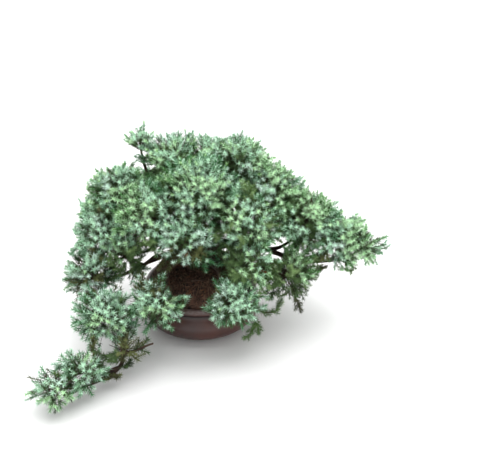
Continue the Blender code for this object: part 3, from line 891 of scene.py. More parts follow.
@dataclass
class Bowl:
    """The stoneware bowl: foot, round belly, groove and lip. Sizes are in millimetres."""

    height: float = 50.0
    foot_radius: float = 47.5
    foot_height: float = 2.0
    belly_middle: Pair = (49.5, 22.5)
    belly_half: Pair = (23.0, 20.5)
    groove_radius: float = 65.5
    groove_height: float = 40.5
    lip_radius: float = 68.5
    lip_foot: float = 43.5
    lip_inner: float = 62.0
    wall_middle: Pair = (42.5, 23.5)
    wall_half: Pair = (20.0, 17.5)
    sides: int = 144
    throw_wave: float = 0.22
    wave_pitch: Pair = (16.0, 90.0)

    def profile(self) -> list[Pair]:
        """The wall's section, up its inner side and down its outer side.

        Returns:
            Radii and heights, in millimetres.
        """
        inner = arc(self.wall_middle, self.wall_half, -90.0, 35.0, 10)
        lip = [
            (self.lip_inner, self.height - 3.0),
            (self.lip_inner + 0.3, self.height - 1.2),
            (self.lip_inner + 1.1, self.height - 0.3),
            (self.lip_inner + 2.4, self.height),
            (self.lip_radius - 1.6, self.height - 0.5),
            (self.lip_radius - 0.4, self.height - 1.5),
            (self.lip_radius, self.height - 3.0),
            (self.lip_radius, self.height - 5.2),
            (self.lip_radius - 0.5, self.lip_foot),
            (self.lip_radius - 1.7, self.lip_foot - 0.9),
            (self.groove_radius + 1.2, self.groove_height + 1.2),
            (self.groove_radius + 0.2, self.groove_height + 0.1),
            (self.groove_radius, self.groove_height - 0.8),
        ]
        belly = arc(self.belly_middle, self.belly_half, 42.0, -78.0, 22)
        foot = [
            (self.foot_radius + 1.2, self.foot_height + 0.4),
            (self.foot_radius, self.foot_height),
            (self.foot_radius - 0.2, 0.5),
            (self.foot_radius - 1.0, 0.0),
            (self.foot_radius - 8.0, 0.0),
            (0.0, 0.0),
        ]
        return [(0.0, inner[0][1]), *inner, *lip, *belly, *foot]

    def build(self) -> None:
        """Turns the bowl and stands it for its plain solid."""
        shape = turned(self.profile(), self.sides)
        level, up = self.wave_pitch
        for vert in shape.verts:
            out = math.hypot(vert.co.x, vert.co.y)
            if out > self.foot_radius * MM and vert.co.z > self.foot_height * MM:
                wave = noise.noise(Vector((vert.co.x * level, vert.co.y * level, vert.co.z * up)))
                grow = 1.0 + self.throw_wave * MM * wave / out
                vert.co.x *= grow
                vert.co.y *= grow
        piece = new_piece("bowl", shape_mesh("bowl", shape), [StonewareFinish().build()], "stoneware")
        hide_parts("pot")


@dataclass
class Mound:
    """The peat: a lumpy dome with crumbs, roots and fallen needles on it. Sizes are in millimetres."""

    edge_height: float = 46.0
    top_height: float = 74.0
    top_radius: float = 27.0
    edge_radius: float = 61.6
    lumps: float = 2.31
    lump_pitch: float = 75.0
    calm_from: float = 54.0
    calm_over: float = 7.0
    sink: float = 0.6
    rings: int = 44
    spokes: int = 120
    skirt: float = 6.0
    crumbs: int = 900
    fibres: int = 2200
    litter: int = 70
    crumb_sizes: Pair = (0.5, 1.7)
    crumb_widths: Pair = (0.6, 1.0)
    crumb_heights: Pair = (0.45, 0.8)
    clod_size: float = 1.5
    clod_chance: float = 0.08
    root_radii: Pair = (0.12, 0.27)
    root_steps: Pair = (1.6, 3.0)
    litter_radius: float = 0.42
    litter_step: float = 3.4
    seed: int = 7

    def height_at(self, out: float) -> float:
        """The smooth dome's height.

        Args:
            out: The distance from the middle, in metres.

        Returns:
            The height, in metres.
        """
        share = min(max((out / MM - self.top_radius) / (self.edge_radius - self.top_radius), 0.0), 1.0)
        rise = self.top_height - self.edge_height
        return (self.edge_height + rise * math.sqrt(1.0 - share * share)) * MM

    def surface(self, x: float, y: float) -> Vector:
        """A point on the lumpy surface.

        Args:
            x: Its X, in metres.
            y: Its Y, in metres.

        Returns:
            The point.
        """
        out = math.hypot(x, y)
        fade = 1.0 - 0.6 * max(0.0, min(1.0, (out / MM - self.calm_from) / self.calm_over))
        rough = noise.fractal(Vector((x, y, 0.3)) * self.lump_pitch, 1.0, 2.1, 4)
        return Vector((x, y, self.height_at(out) + (self.lumps * fade * rough - self.sink) * MM))

    def build(self) -> None:
        """Builds the dome and what lies on it, and stands them for the plain solid."""
        section = [(self.edge_radius * k / self.rings, 0.0) for k in range(self.rings + 1)]
        shape = turned(section, self.spokes)
        for vert in shape.verts:
            vert.co = self.surface(vert.co.x, vert.co.y)
        rim = [edge for edge in shape.edges if edge.is_boundary]
        skirt = bmesh.ops.extrude_edge_only(shape, edges=rim)["geom"]
        low = [item for item in skirt if isinstance(item, bmesh.types.BMVert)]
        bmesh.ops.translate(shape, verts=low, vec=UP * -self.skirt * MM)
        bmesh.ops.holes_fill(shape, edges=[edge for edge in shape.edges if edge.is_boundary])
        dome = new_piece("peat_dome", shape_mesh("peat_dome", shape), [PeatFinish().build()], "peat")
        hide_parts("soil_mound")
        dice = random.Random(self.seed)
        self.add_crumbs(dice)
        self.add_fibres(dice)

    def spot(self, dice: random.Random, lift: float) -> Vector:
        """A seeded spot on the mound.

        Args:
            dice: The mound's seeded dice.
            lift: How far above the surface it is, in metres.

        Returns:
            The spot.
        """
        out = self.edge_radius * 0.985 * MM * math.sqrt(dice.random())
        around = dice.uniform(0.0, math.tau)
        return self.surface(out * math.cos(around), out * math.sin(around)) + UP * lift

    def add_crumbs(self, dice: random.Random) -> None:
        """Scatters peat crumbs.

        Args:
            dice: The mound's seeded dice.
        """
        shape = bmesh.new()
        bmesh.ops.create_icosphere(shape, subdivisions=1, radius=1.0)
        stamp = Stamp(shape)
        placings = []
        for _ in range(self.crumbs):
            size = dice.uniform(*self.crumb_sizes) * MM
            size *= self.clod_size if dice.random() < self.clod_chance else 1.0
            turn = Matrix.Rotation(dice.uniform(0, math.tau), 4, Vector((dice.random(), dice.random(), 1.0)))
            wide, tall = size * dice.uniform(*self.crumb_widths), size * dice.uniform(*self.crumb_heights)
            flat = Matrix.Diagonal((size, wide, tall, 1.0))
            placings.append(np.array(Matrix.Translation(self.spot(dice, 0.1 * MM)) @ turn @ flat))
        finishes = PlainFinish.row(
            0.95, crumb_dark=srgb(34, 25, 19), crumb_brown=srgb(62, 48, 38), crumb_fawn=srgb(94, 80, 66)
        )
        slots = np.array([dice.choice((0, 0, 1, 1, 1, 2)) for _ in placings])
        new_piece("peat_crumbs", stamp.joined("peat_crumbs", np.array(placings), slots), finishes, "peat")

    def add_fibres(self, dice: random.Random) -> None:
        """Lays fine roots and fallen needles over the mound.

        Args:
            dice: The mound's seeded dice.
        """
        placings, slots = [], []
        for k in range(self.fibres + self.litter):
            fallen = k >= self.fibres
            point = self.spot(dice, dice.uniform(0.1, 0.9) * MM)
            around = dice.uniform(0.0, math.tau)
            thick = (self.litter_radius if fallen else dice.uniform(*self.root_radii)) * MM
            slot = dice.choice((3, 3, 4)) if fallen else dice.choice((0, 0, 1, 1, 2))
            pieces = 2 if fallen else dice.randint(2, 5)
            for _ in range(pieces):
                step = (self.litter_step if fallen else dice.uniform(*self.root_steps)) * MM
                around += dice.uniform(-0.5, 0.5) * (0.3 if fallen else 1.0)
                ahead = point + Vector((math.cos(around), math.sin(around), 0.0)) * step
                if math.hypot(ahead.x, ahead.y) > self.edge_radius * MM:
                    break
                lift = dice.uniform(0.1, 0.8) * MM
                ahead = self.surface(ahead.x, ahead.y) + UP * lift
                placings.append(rod_between(point, ahead, thick))
                slots.append(slot)
                point = ahead
        finishes = PlainFinish.row(
            0.9, root_dark=srgb(38, 28, 21), root_brown=srgb(98, 70, 54), root_pale=srgb(132, 106, 84)
        )
        finishes += PlainFinish.row(0.7, litter_rust=srgb(120, 78, 46), litter_straw=srgb(104, 92, 68))
        mesh = rod_stamp(0.6).joined("peat_fibres", np.array(placings), np.array(slots))
        new_piece("peat_fibres", mesh, finishes, "peat")


def rod_stamp(thin: float) -> Stamp:
    """A tapering three-sided rod, one long, centred on its middle.

    Args:
        thin: The radius of its upper end, where the lower end's is 1.

    Returns:
        The rod.
    """
    shape = bmesh.new()
    bmesh.ops.create_cone(shape, cap_ends=True, segments=3, radius1=1.0, radius2=thin, depth=1.0)
    return Stamp(shape)


def rod_between(start: Vector, end: Vector, radius: float) -> Array:
    """The placing of a rod stamp that joins two points.

    Args:
        start: Where the rod's thick end goes.
        end: Where its thin end goes.
        radius: The radius of its thick end.

    Returns:
        A 4 by 4 matrix.
    """
    way = end - start
    turn = way.to_track_quat("Z", "Y").to_matrix().to_4x4()
    size = Matrix.Diagonal((radius, radius, way.length * 1.04, 1.0))
    return np.array(Matrix.Translation(start.lerp(end, 0.5)) @ turn @ size)


@dataclass
class Bark:
    """The trunk and boughs with the relief of strip bark, and each mass's stem. Sizes in metres."""

    skeleton: Skeleton
    spaces: Spaces
    ring_every: float = 2.2 * MM
    trunk_sides: int = 32
    bough_sides: int = 14
    twig_sides: int = 8
    crown_radius: float = 5.0 * MM
    stem_radii: tuple[float, ...] = (1.6 * MM, 1.3 * MM, 0.7 * MM)
    relief: float = 0.55 * MM
    relief_share: float = 0.22
    strip_pitch: float = 3.6
    flake_pitch: float = 8.0
    flare_height: float = 12.0 * MM
    lobes: int = 4
    lobe_depth: float = 0.16

    def build(self) -> None:
        """Builds the trunk and the boughs and stands them for their plain solids."""
        finish = BarkFinish().build()
        trunk = bmesh.new()
        route, radii = self.finer(self.skeleton.routes["trunk"], self.skeleton.radii["trunk"])
        self.sweep(trunk, route, radii, self.trunk_sides)
        self.flare(trunk)
        piece = new_piece("trunk_bark", shape_mesh("trunk_bark", trunk), [finish], "bark")
        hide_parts("trunk")
        boughs = bmesh.new()
        for limb in LIMBS:
            route = [*self.skeleton.routes[limb.name], *self.stem(limb.name)]
            radii = [*self.skeleton.radii[limb.name], *self.stem_radii]
            self.sweep(boughs, *self.finer(route, radii), self.bough_sides)
        route = [self.skeleton.stems["crown"][0], *self.stem("crown")]
        self.sweep(boughs, *self.finer(route, [self.crown_radius, *self.stem_radii]), self.bough_sides)
        for stray in STRAYS:
            route = stray_route(stray)
            radii = np.linspace(stray.radius, 0.5 * stray.radius, len(route)) * MM
            self.sweep(boughs, *self.finer(route, list(radii)), self.twig_sides)
        piece = new_piece("bough_bark", shape_mesh("bough_bark", boughs), [finish], "bark")
        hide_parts(*("bough_" + limb.name for limb in LIMBS))

    def stem(self, name: str) -> Route:
        """A mass's stem past its bough's tip: on along the bough's heading, then to the mass's middle.

        Args:
            name: The mass.

        Returns:
            The stem's points.
        """
        root, heading = self.skeleton.stems[name]
        centre = Vector(self.spaces.centres[self.spaces.index[name]])
        near = root + heading * STEM_STEP
        return [near, near.lerp(centre, 0.55), centre + (centre - near) * 0.25]

    def finer(self, route: Route, radii: list[float]) -> tuple[Route, list[float]]:
        """Reads a route again at close rings, with its radii.

        Args:
            route: The centre line.
            radii: The radius at each of its points.

        Returns:
            The closer points, and the radius at each.
        """
        fine = smooth_route(route, self.ring_every)
        lengths = np.cumsum([0.0] + [(b - a).length for a, b in zip(route, route[1:])])
        walked = np.cumsum([0.0] + [(b - a).length for a, b in zip(fine, fine[1:])])
        return fine, list(np.interp(walked * lengths[-1] / walked[-1], lengths, radii))

    def sweep(self, shape: Shape, route: Route, radii: list[float], sides: int) -> None:
        """Draws one limb out ring by ring from a disc, with bark relief.

        Args:
            shape: The bmesh that takes the limb.
            route: The centre line.
            radii: The radius at each of its points.
            sides: How many corners a ring has.
        """
        limb = bmesh.new()
        heading = (route[1] - route[0]).normalized()
        turn = heading.to_track_quat("Z", "Y").to_matrix().to_4x4()
        place = Matrix.Translation(route[0]) @ turn
        disc = bmesh.ops.create_circle(limb, cap_ends=True, segments=sides, radius=radii[0], matrix=place)
        face = disc["verts"][0].link_faces[0]
        walked = 0.0
        rings = [(list(face.verts), route[0], walked)]
        for k in range(1, len(route)):
            after = route[min(k + 1, len(route) - 1)] - route[k - 1]
            bend = heading.rotation_difference(after.normalized()).to_matrix()
            heading = after.normalized()
            made = bmesh.ops.extrude_face_region(limb, geom=[face], use_keep_orig=True)["geom"]
            verts = [item for item in made if isinstance(item, bmesh.types.BMVert)]
            new_face = next(item for item in made if isinstance(item, bmesh.types.BMFace))
            if k > 1:
                bmesh.ops.delete(limb, geom=[face], context="FACES_ONLY")
            grow = radii[k] / radii[k - 1]
            bmesh.ops.translate(limb, verts=verts, vec=-route[k - 1])
            bmesh.ops.rotate(limb, verts=verts, cent=(0, 0, 0), matrix=bend)
            bmesh.ops.scale(limb, verts=verts, vec=(grow, grow, grow))
            bmesh.ops.translate(limb, verts=verts, vec=route[k])
            walked += (route[k] - route[k - 1]).length
            face = new_face
            rings.append((list(face.verts), route[k], walked))
        for (verts, middle, along), radius in zip(rings, radii):
            depth = min(self.relief, radius * self.relief_share)
            for vert in verts:
                out = (vert.co - middle).normalized()
                place = Vector((middle.x * 9.0, middle.y * 9.0, along * 60.0))
                strip = noise.noise(out * self.strip_pitch + place)
                place = Vector((along * 230.0, middle.z * 30.0, 0.0))
                flake = noise.noise(out * self.flake_pitch + place)
                vert.co += out * depth * (1.1 * strip + 0.6 * flake)
        mesh = bpy.data.meshes.new("limb")
        limb.to_mesh(mesh)
        limb.free()
        shape.from_mesh(mesh)
        bpy.data.meshes.remove(mesh)

    def flare(self, shape: Shape) -> None:
        """Widens the trunk's foot into buttress lobes, as the plain solid is.

        Args:
            shape: The trunk.
        """
        foot = self.skeleton.foot
        for vert in shape.verts:
            low = max(0.0, 1.0 - (vert.co.z - foot.z) / self.flare_height)
            angle = math.atan2(vert.co.y - foot.y, vert.co.x - foot.x)
            grow = 1.0 + self.lobe_depth * low * math.cos(self.lobes * angle + 0.6)
            vert.co.x = foot.x + (vert.co.x - foot.x) * grow
            vert.co.y = foot.y + (vert.co.y - foot.y) * grow
            vert.co.z = max(vert.co.z, foot.z - 1.0 * MM)


Shoot = tuple[Vector, Vector, float, Tone]


@dataclass
class Foliage:
    """Twigs, shoots and needles of every mass. Sizes are in metres.

    A shoot is a row: where it starts, its axis, its length and its tint. The shoots and dice are those of
    the mass at hand; tips, twigs and stems add up over all the masses.
    """

    skeleton: Skeleton
    spaces: Spaces
    mound: Mound
    bowl: Bowl
    spray_every: float = 16.5 * MM
    spray_longest: float = 34.0 * MM
    spray_shortest: float = 10.0 * MM
    spray_deepest: float = 37.8 * MM
    root_nearest: float = 0.16
    upward: float = 1.10
    outward: float = 0.30
    upward_stray: Pair = (0.5, 1.5)
    outward_stray: Pair = (0.4, 1.6)
    reach_stray: Pair = (0.86, 1.0)
    lead_longest: float = 20.0 * MM
    lead_share: float = 0.75
    spray_share: float = 0.7
    shoot_every: float = 3.0 * MM
    shoot_shortest: float = 8.0 * MM
    side_lengths: Pair = (21.0 * MM, 13.0 * MM)
    side_stray: Pair = (0.8, 1.15)
    side_lean: Pair = (36.0, 58.0)
    lean_less: float = 12.0
    side_from: float = 0.04
    side_over: float = 0.74
    length_steps: tuple[float, ...] = (1.0, 0.84, 0.68, 0.52)
    tone_kept: float = 0.72
    tip_room: float = 6.0 * MM
    inner_room: float = 7.0 * MM
    edge_margin: float = 7.0 * MM
    edge_share: float = 0.17
    edge_ragged: float = 15.0 * MM
    edge_pitch: float = 55.0
    stray: float = 4.0 * MM
    full_depth: float = 16.0 * MM
    last_depth: float = 42.0 * MM
    twig_radius: float = 0.75 * MM
    spray_radius: float = 0.5 * MM
    stem_radius: float = 0.4 * MM
    whorl_every: float = 1.45 * MM
    needle_length: float = 6.2 * MM
    needle_width: float = 0.95 * MM
    needle_depth: float = 0.8 * MM
    needle_stray: Pair = (0.84, 1.12)
    width_stray: Pair = (0.88, 1.12)
    spread: float = 61.0
    spread_less: float = 9.0
    spread_stray: float = 9.0
    bud_from: float = 0.78
    bud_over: float = 0.22
    bud_fold: float = 24.0
    bud_shrink: float = 0.24
    full_shoot: float = 15.0 * MM
    small_share: float = 0.78
    dark_pitch: float = 1.4
    dark_width: float = 1.5
    old_shade_chance: float = 0.85
    old_shade_share: float = 0.50
    bud_share: float = 0.80
    lime_buds: float = 0.16
    lime_heights: Pair = (100.0 * MM, 180.0 * MM)
    lime_shares: Pair = (0.06, 1.0)
    tint_pitch: float = 22.0
    ground_margin: float = 1.5 * MM
    seed: int = 141
    dice: random.Random = field(default_factory=random.Random)
    shoots: list[Shoot] = field(default_factory=list)
    tips: dict[tuple[int, ...], list[Vector]] = field(default_factory=dict)
    twigs: list[Array] = field(default_factory=list)
    stems: list[Array] = field(default_factory=list)

    def build(self) -> None:
        """Grows every mass, and joins its needles into one piece and all the twigs into two."""
        finishes = [made for tone in Tone for made in (tone.upper.build(), tone.under.build())]
        needle = self.needle_stamp()
        for index, mass in enumerate(MASSES):
            self.grow_mass(index, mass)
            piece = self.plant("needles_" + mass.name, needle, finishes)
            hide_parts("foliage_" + mass.name)
        self.grow_strays()
        self.plant("needles_strays", needle, finishes)
        rods = rod_stamp(0.62)
        green = PlainFinish("shoot_green", srgb(86, 100, 58), 0.7).build()
        brown = PlainFinish("twig_brown", srgb(70, 52, 40), 0.85).build()
        stems, twigs = np.concatenate(self.stems), np.array(self.twigs)
        for name, placings, finish, slot in (
            ("shoot_axes", stems, green, "needles"), ("fine_twigs", twigs, brown, "bark")
        ):
            mesh = rods.joined(name, placings, np.zeros(len(placings), int), smooth=True)
            new_piece(name, mesh, [finish], slot)

    @staticmethod
    def needle_stamp() -> Stamp:
        """An awl-shaped needle of unit size: its flat upper face in slot 0, its keeled rest in slot 1.

        Returns:
            The needle, which points up and has its flat face to +Y.
        """
        shape = bmesh.new()
        across = 1.0 / math.sqrt(3.0)
        bmesh.ops.create_cone(
            shape, cap_ends=True, segments=3, radius1=across, radius2=0.0, depth=1.0,
            matrix=Matrix.Translation((0.0, 0.0, 0.5)),
        )
        bmesh.ops.rotate(shape, verts=shape.verts, cent=(0, 0, 0), matrix=Matrix.Rotation(math.pi, 3, "Z"))
        bmesh.ops.recalc_face_normals(shape, faces=shape.faces)
        shape.normal_update()
        for face in shape.faces:
            face.material_index = 0 if face.normal.y > 0.5 else 1
        return Stamp(shape)

    def plant(self, name: str, needle: Stamp, finishes: list[Material]) -> bpy.types.Object:
        """Makes a piece of the needles on the shoots at hand, and puts by the shoots' own thin stems.

        Args:
            name: The piece's name.
            needle: One needle.
            finishes: The upper and under side of each tint.

        Returns:
            The piece.
        """
        roots, axes, lengths, tones = zip(*self.shoots)
        roots, axes, lengths = np.array(roots), np.array(axes), np.array(lengths)
        long = lengths[:, None]
        thick = np.full_like(long, self.stem_radius)
        scales = np.hstack([thick, thick, long * 0.94])
        self.stems.append(frames_along(roots + axes * long * 0.47, axes, any_side(axes), scales))
        placings, slots = self.needles(roots, axes, lengths, tones)
        return new_piece(name, needle.joined(name, placings, slots), finishes, "needles")

    def headings(self, count: int) -> Iterator[Vector]:
        """Headings spread by the golden angle from the top down, with a seeded stray.

        Args:
            count: How many there are.

        Returns:
            One unit vector after another.
        """
        for k in range(count):
            height = 1.0 - 1.86 * (k + 0.5) / count
            around = k * GOLDEN_ANGLE + self.dice.uniform(-0.25, 0.25)
            ring = math.sqrt(max(0.0, 1.0 - height * height))
            stray = Vector([self.dice.uniform(-0.12, 0.12) for _ in range(3)])
            yield (Vector((ring * math.cos(around), ring * math.sin(around), height)) + stray).normalized()

    def is_open(self, point: Vector) -> bool:
        """Whether a point is clear of the bowl, the peat and the ground.

        Args:
            point: The point.

        Returns:
            True if it is.
        """
        if point.z < self.ground_margin:
            return False
        out = math.hypot(point.x, point.y)
        if out < (self.bowl.lip_radius + 1.5) * MM and point.z < (self.bowl.height + 2.0) * MM:
            return False
        return out > self.mound.edge_radius * MM or point.z > self.mound.height_at(out) + 2.0 * MM

    def grow_mass(self, index: int, mass: Mass) -> None:
        """Grows the sprays of one mass.

        Args:
            index: The mass's place in the list.
            mass: The mass.
        """
        self.dice, self.shoots = random.Random(self.seed + index), []
        dice = self.dice
        centre = Vector(self.spaces.centres[index])
        root, heading = self.skeleton.stems[mass.name]
        outward = Vector((centre.x, centre.y, 0.0)).normalized()
        mean = float(self.spaces.sizes[index])
        count = round(mass.fullness * 4.0 * math.pi * mean * mean / self.spray_every**2)
        for k, way in enumerate(self.headings(count)):
            run = self.spaces.run(index, centre, way)
            start = centre + way * max(run * self.root_nearest, run - self.spray_longest)
            lift = dice.uniform(*self.upward_stray) * self.upward * (0.55 + 0.45 * way.z) + mass.lift
            axis = way + UP * lift + outward * self.outward * dice.uniform(*self.outward_stray)
            axis.normalize()
            run = self.spaces.run(index, start, axis) + self.stray
            length = min(run * dice.uniform(*self.reach_stray), self.spray_longest)
            if length < self.spray_shortest or self.spaces.depth(start + axis * length) > self.spray_deepest:
                continue
            self.grow_spray(index, mass, start, axis, length)
            near = (root + heading * STEM_STEP).lerp(centre, (0.35 + k * 0.618) % 1.0)
            route = smooth_route([near, near.lerp(start, 0.5) - way * 1.5 * MM, start], 9.0 * MM)
            for j, (a, b) in enumerate(zip(route, route[1:])):
                self.twigs.append(rod_between(a, b, self.twig_radius * (1.0 - 0.45 * j / len(route))))

    def grow_strays(self) -> None:
        """Sets short shoots along the stray twigs."""
        self.dice, self.shoots = random.Random(self.seed), []
        for stray in STRAYS:
            if stray.tone is None:
                continue
            route = stray_route(stray)
            route = route[round(stray.bare * len(route)):]
            for k, (a, b) in enumerate(zip(route, route[1:])):
                axis = (b - a).normalized()
                for turn in (0.0, 2.1, 4.2):
                    out = Vector(any_side(np.array([axis]))[0])
                    out.rotate(Matrix.Rotation(turn + k * GOLDEN_ANGLE, 3, axis))
                    way = (axis * 0.8 + out * self.dice.uniform(0.4, 0.8)).normalized()
                    long = stray.shoot * MM * self.dice.uniform(0.7, 1.1)
                    self.shoots.append((a.lerp(b, turn / math.tau), way, long, stray.tone))
            self.shoots.append((route[-2], axis, stray.shoot * 1.3 * MM, stray.tone))

    def grow_spray(self, index: int, mass: Mass, start: Vector, axis: Vector, length: float) -> None:
        """Grows one spray: a leading shoot, and side shoots round it.

        Args:
            index: The mass's place in the list.
            mass: The mass.
            start: Where the spray leaves its twig.
            axis: Which way it leads.
            length: How long it is.
        """
        dice = self.dice
        tip = start + axis * length
        tone = self.deal_tone(mass, tip, axis)
        lead = min(length * self.lead_share, self.lead_longest)
        self.offer(index, tip - axis * lead, axis, lead, tone)
        self.twigs.append(rod_between(start, start + axis * length * self.spray_share, self.spray_radius))
        side = Vector(any_side(np.array([axis]))[0])
        count = max(4, round(length / self.shoot_every))
        turn = dice.uniform(0.0, math.tau)
        low, high = self.side_lengths
        for k in range(count):
            along = self.side_from + self.side_over * (k + 0.5) / count
            around = turn + k * GOLDEN_ANGLE + dice.uniform(-0.3, 0.3)
            lean = math.radians(dice.uniform(*self.side_lean) - self.lean_less * along)
            out = side.copy()
            out.rotate(Matrix.Rotation(around, 3, axis))
            lift = 0.45 + 0.15 * axis.z
            way = (axis * math.cos(lean) + out * math.sin(lean) + UP * lift).normalized()
            root = start + axis * length * along
            long = (low + (high - low) * along) * dice.uniform(*self.side_stray)
            kept = dice.random() < self.tone_kept
            own = tone if kept else self.deal_tone(mass, root + way * long, way)
            self.offer(index, root, way, long, own)

    def offer(self, index: int, root: Vector, axis: Vector, length: float, tone: Tone) -> None:
        """Keeps a shoot at the longest of four lengths that fits, fewer of them further in.

        Args:
            index: The place in the list of the mass that it grows in.
            root: Where it starts.
            axis: Its heading.
            length: Its full length.
            tone: Its tint, unless it is deep inside, where it takes the shaded tint as painted shade.
        """
        for share in self.length_steps:
            long = length * share
            tip = root + axis * long
            if long < self.shoot_shortest:
                return
            depths = self.spaces.depths(tip)
            ragged = min(self.edge_margin, self.edge_share * self.spaces.sizes[index])
            ragged += self.edge_ragged * noise.noise(tip * self.edge_pitch)
            blended = self.spaces.blended(depths)
            if blended < ragged or depths[index] < -self.stray or not self.is_open(tip):
                continue
            hidden = (blended - self.full_depth) / (self.last_depth - self.full_depth)
            room = self.tip_room + (self.inner_room - self.tip_room) * min(max(3.0 * hidden, 0.0), 1.0)
            if hidden > 1.0 or any(gap.holds(root.lerp(tip, at)) for gap in OPENINGS for at in (0.5, 1.0)):
                return
            if not self.is_crowded(tip, room):
                self.shoots.append((root, axis, long, tone if hidden < 0.0 else Tone.SHADED))
            return

    def is_crowded(self, tip: Vector, room: float) -> bool:
        """Whether a shoot's tip is too near another. A tip that isn't is kept.

        Args:
            tip: The tip.
            room: How far off every other tip has to be.

        Returns:
            True if one is nearer.
        """
        cell = tuple(math.floor(value / self.inner_room) for value in tip)
        for step in product((-1, 0, 1), repeat=3):
            spot = tuple(a + b for a, b in zip(cell, step))
            if any((tip - other).length < room for other in self.tips.get(spot, ())):
                return True
        self.tips.setdefault(cell, []).append(tip)
        return False

    def deal_tone(self, mass: Mass, place: Vector, way: Vector) -> Tone:
        """Deals a tint: by the mass's shares, and darker ones inside and underneath.

        The darker tints inside and underneath are painted shade, with some real olive and dead shoots.

        Args:
            mass: The mass.
            place: The shoot's tip.
            way: Its heading.

        Returns:
            The tint.
        """
        hidden = max(0.0, self.spaces.depth(place) / self.full_depth - 0.3) * 0.45
        hidden += max(0.0, -way.z) * (0.12 if place.y < FRONT else 0.45)
        if mass.tints != "spent" and self.dice.random() < hidden:
            return self.dice.choices(*DARK_SHARES)[0]
        luck = 0.5 + 0.85 * noise.noise(place * self.tint_pitch) + self.dice.uniform(-0.18, 0.18)
        for tone, share in TINT_SHARES[mass.tints]:
            luck -= share
            if luck < 0.0:
                break
        return tone

    def needles(
        self, roots: Array, axes: Array, lengths: Array, tones: tuple[Tone, ...]
    ) -> tuple[Array, Array]:
        """Places the needles of some shoots: whorls of three up each shoot, and a tight bud at its tip.

        Args:
            roots: Where each shoot starts.
            axes: Its heading.
            lengths: Its length.
            tones: Its tint.

        Returns:
            A placing for each needle, and the first of its two material slots.
        """
        dice = np.random.default_rng(self.seed)
        order = {tone: 2 * k for k, tone in enumerate(Tone)}
        slots = np.array([order[tone] for tone in tones])
        dark = slots >= order[Tone.SHADED]
        pitch = np.where(dark, self.dark_pitch, 1.0) * self.whorl_every
        whorls = np.maximum(4, np.round(lengths / pitch).astype(int))
        owner = np.repeat(np.arange(len(roots)), whorls * 3)
        count = np.concatenate([np.arange(n * 3) for n in whorls])
        ring, leaf = count // 3, count % 3
        share = ((ring + 0.35) / whorls[owner]) ** 0.9
        axis = axes[owner]
        first = any_side(axes)[owner]
        second = np.cross(axis, first)
        total = len(owner)
        around = leaf * math.tau / 3 + ring * math.pi / 3 + dice.uniform(-0.35, 0.35, total)
        around += dice.uniform(0, math.tau, len(roots))[owner]
        out = first * np.cos(around)[:, None] + second * np.sin(around)[:, None]
        bud = np.clip((share - self.bud_from) / self.bud_over, 0.0, 1.0)
        spread = self.spread - self.spread_less * share - self.bud_fold * bud
        spread = np.radians(spread + dice.uniform(-self.spread_stray, self.spread_stray, total))[:, None]
        way = axis * np.cos(spread) + out * np.sin(spread)
        above = axis * np.sin(spread) - out * np.cos(spread)
        young = 1.0 - self.bud_shrink * bud
        small = np.clip(lengths / self.full_shoot, self.small_share, 1.0)[owner]
        long = self.needle_length * young * small * dice.uniform(*self.needle_stray, total)
        wide = self.needle_width * (0.7 + 0.3 * young) * dice.uniform(*self.width_stray, total)
        wide *= np.where(dark, self.dark_width, 1.0)[owner]
        scales = np.stack([wide, np.full(total, self.needle_depth), long], axis=1)
        foot = roots[owner] + axis * (share * lengths[owner])[:, None]
        bright = slots[owner] <= order[Tone.FROSTED]
        # The lower needles of bright shoots take the shaded tint: partly the darker green of older needles,
        # partly painted shade within the shoot.
        old_shade = bright & (share < self.old_shade_share) & (dice.random(total) < self.old_shade_chance)
        chance = self.lime_buds * np.interp(roots[:, 2], self.lime_heights, self.lime_shares)
        lime = bright & (share > self.bud_share) & (dice.random(len(roots)) < chance)[owner]
        tints = np.where(old_shade, order[Tone.SHADED], np.where(lime, order[Tone.BUD], slots[owner]))
        return frames_along(foot, way, above, scales), tints


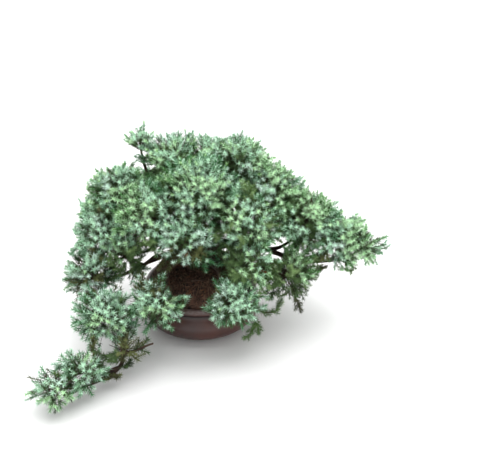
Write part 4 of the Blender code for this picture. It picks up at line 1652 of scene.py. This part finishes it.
@dataclass(frozen=True)
class Studio:
    """A white floor and sky, a soft light above and behind the plant, and the photograph's camera."""

    camera_place: Point = (0.0482, -0.7866, 0.5605)
    camera_pitch: float = 29.275
    focal_pixels: float = 761.0
    frame_width: float = 480.0
    sensor_width: float = 36.0
    sky: float = 1.00
    key_power: float = 255.0
    key_place: Point = (0.3, 1.4, 2.6)
    key_side: float = 5.0
    aim: Point = (0.0, 0.0, 0.08)
    floor_side: float = 30.0
    floor_gap: float = 0.2 * MM
    floor_white: float = 0.76

    def build(self) -> None:
        """Sets up floor, light and camera."""
        self.lay_floor()
        self.light_world()
        self.hang_key()
        lens = bpy.data.cameras.new("camera")
        lens.sensor_width = self.sensor_width
        lens.lens = self.sensor_width * self.focal_pixels / self.frame_width
        camera = bpy.data.objects.new("camera", lens)
        camera.location = self.camera_place
        camera.rotation_euler = (math.radians(90.0 - self.camera_pitch), 0.0, 0.0)
        bpy.context.scene.collection.objects.link(camera)
        bpy.context.scene.camera = camera
        bpy.context.scene.view_settings.view_transform = "Standard"

    def lay_floor(self) -> None:
        """Lays the floor, just under the bowl's foot."""
        shape = bmesh.new()
        bmesh.ops.create_grid(shape, x_segments=1, y_segments=1, size=self.floor_side)
        mesh = bpy.data.meshes.new("floor")
        shape.to_mesh(mesh)
        shape.free()
        floor = bpy.data.objects.new("floor", mesh)
        floor.location.z = -self.floor_gap
        bpy.context.scene.collection.objects.link(floor)
        mesh.materials.append(PlainFinish("floor_white", (self.floor_white,) * 3, 1.0).build())

    def light_world(self) -> None:
        """Gives the world an even white sky."""
        world = bpy.data.worlds.new("studio")
        world.use_nodes = True
        sky = world.node_tree.nodes["Background"]
        sky.inputs["Color"].default_value = (1.0, 1.0, 1.0, 1.0)
        sky.inputs["Strength"].default_value = self.sky
        bpy.context.scene.world = world

    def hang_key(self) -> None:
        """Hangs a square soft light that looks at the plant."""
        lamp = bpy.data.lights.new("key", "AREA")
        lamp.energy = self.key_power
        lamp.size = self.key_side
        light = bpy.data.objects.new("key", lamp)
        light.location = self.key_place
        aim = Vector(self.aim) - Vector(self.key_place)
        light.rotation_euler = aim.to_track_quat("-Z", "Y").to_euler()
        bpy.context.scene.collection.objects.link(light)


def main() -> None:
    """Builds the bowl, the peat, the bark and the foliage, and sets the studio."""
    logging.basicConfig(level=logging.INFO, format="%(message)s")
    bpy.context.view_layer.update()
    spaces = Spaces()
    skeleton = Skeleton()
    skeleton.plan(spaces)
    bowl = Bowl()
    bowl.build()
    mound = Mound()
    mound.build()
    Bark(skeleton, spaces).build()
    Foliage(skeleton, spaces, mound, bowl).build()
    Studio().build()


if __name__ == "__main__":
    main()
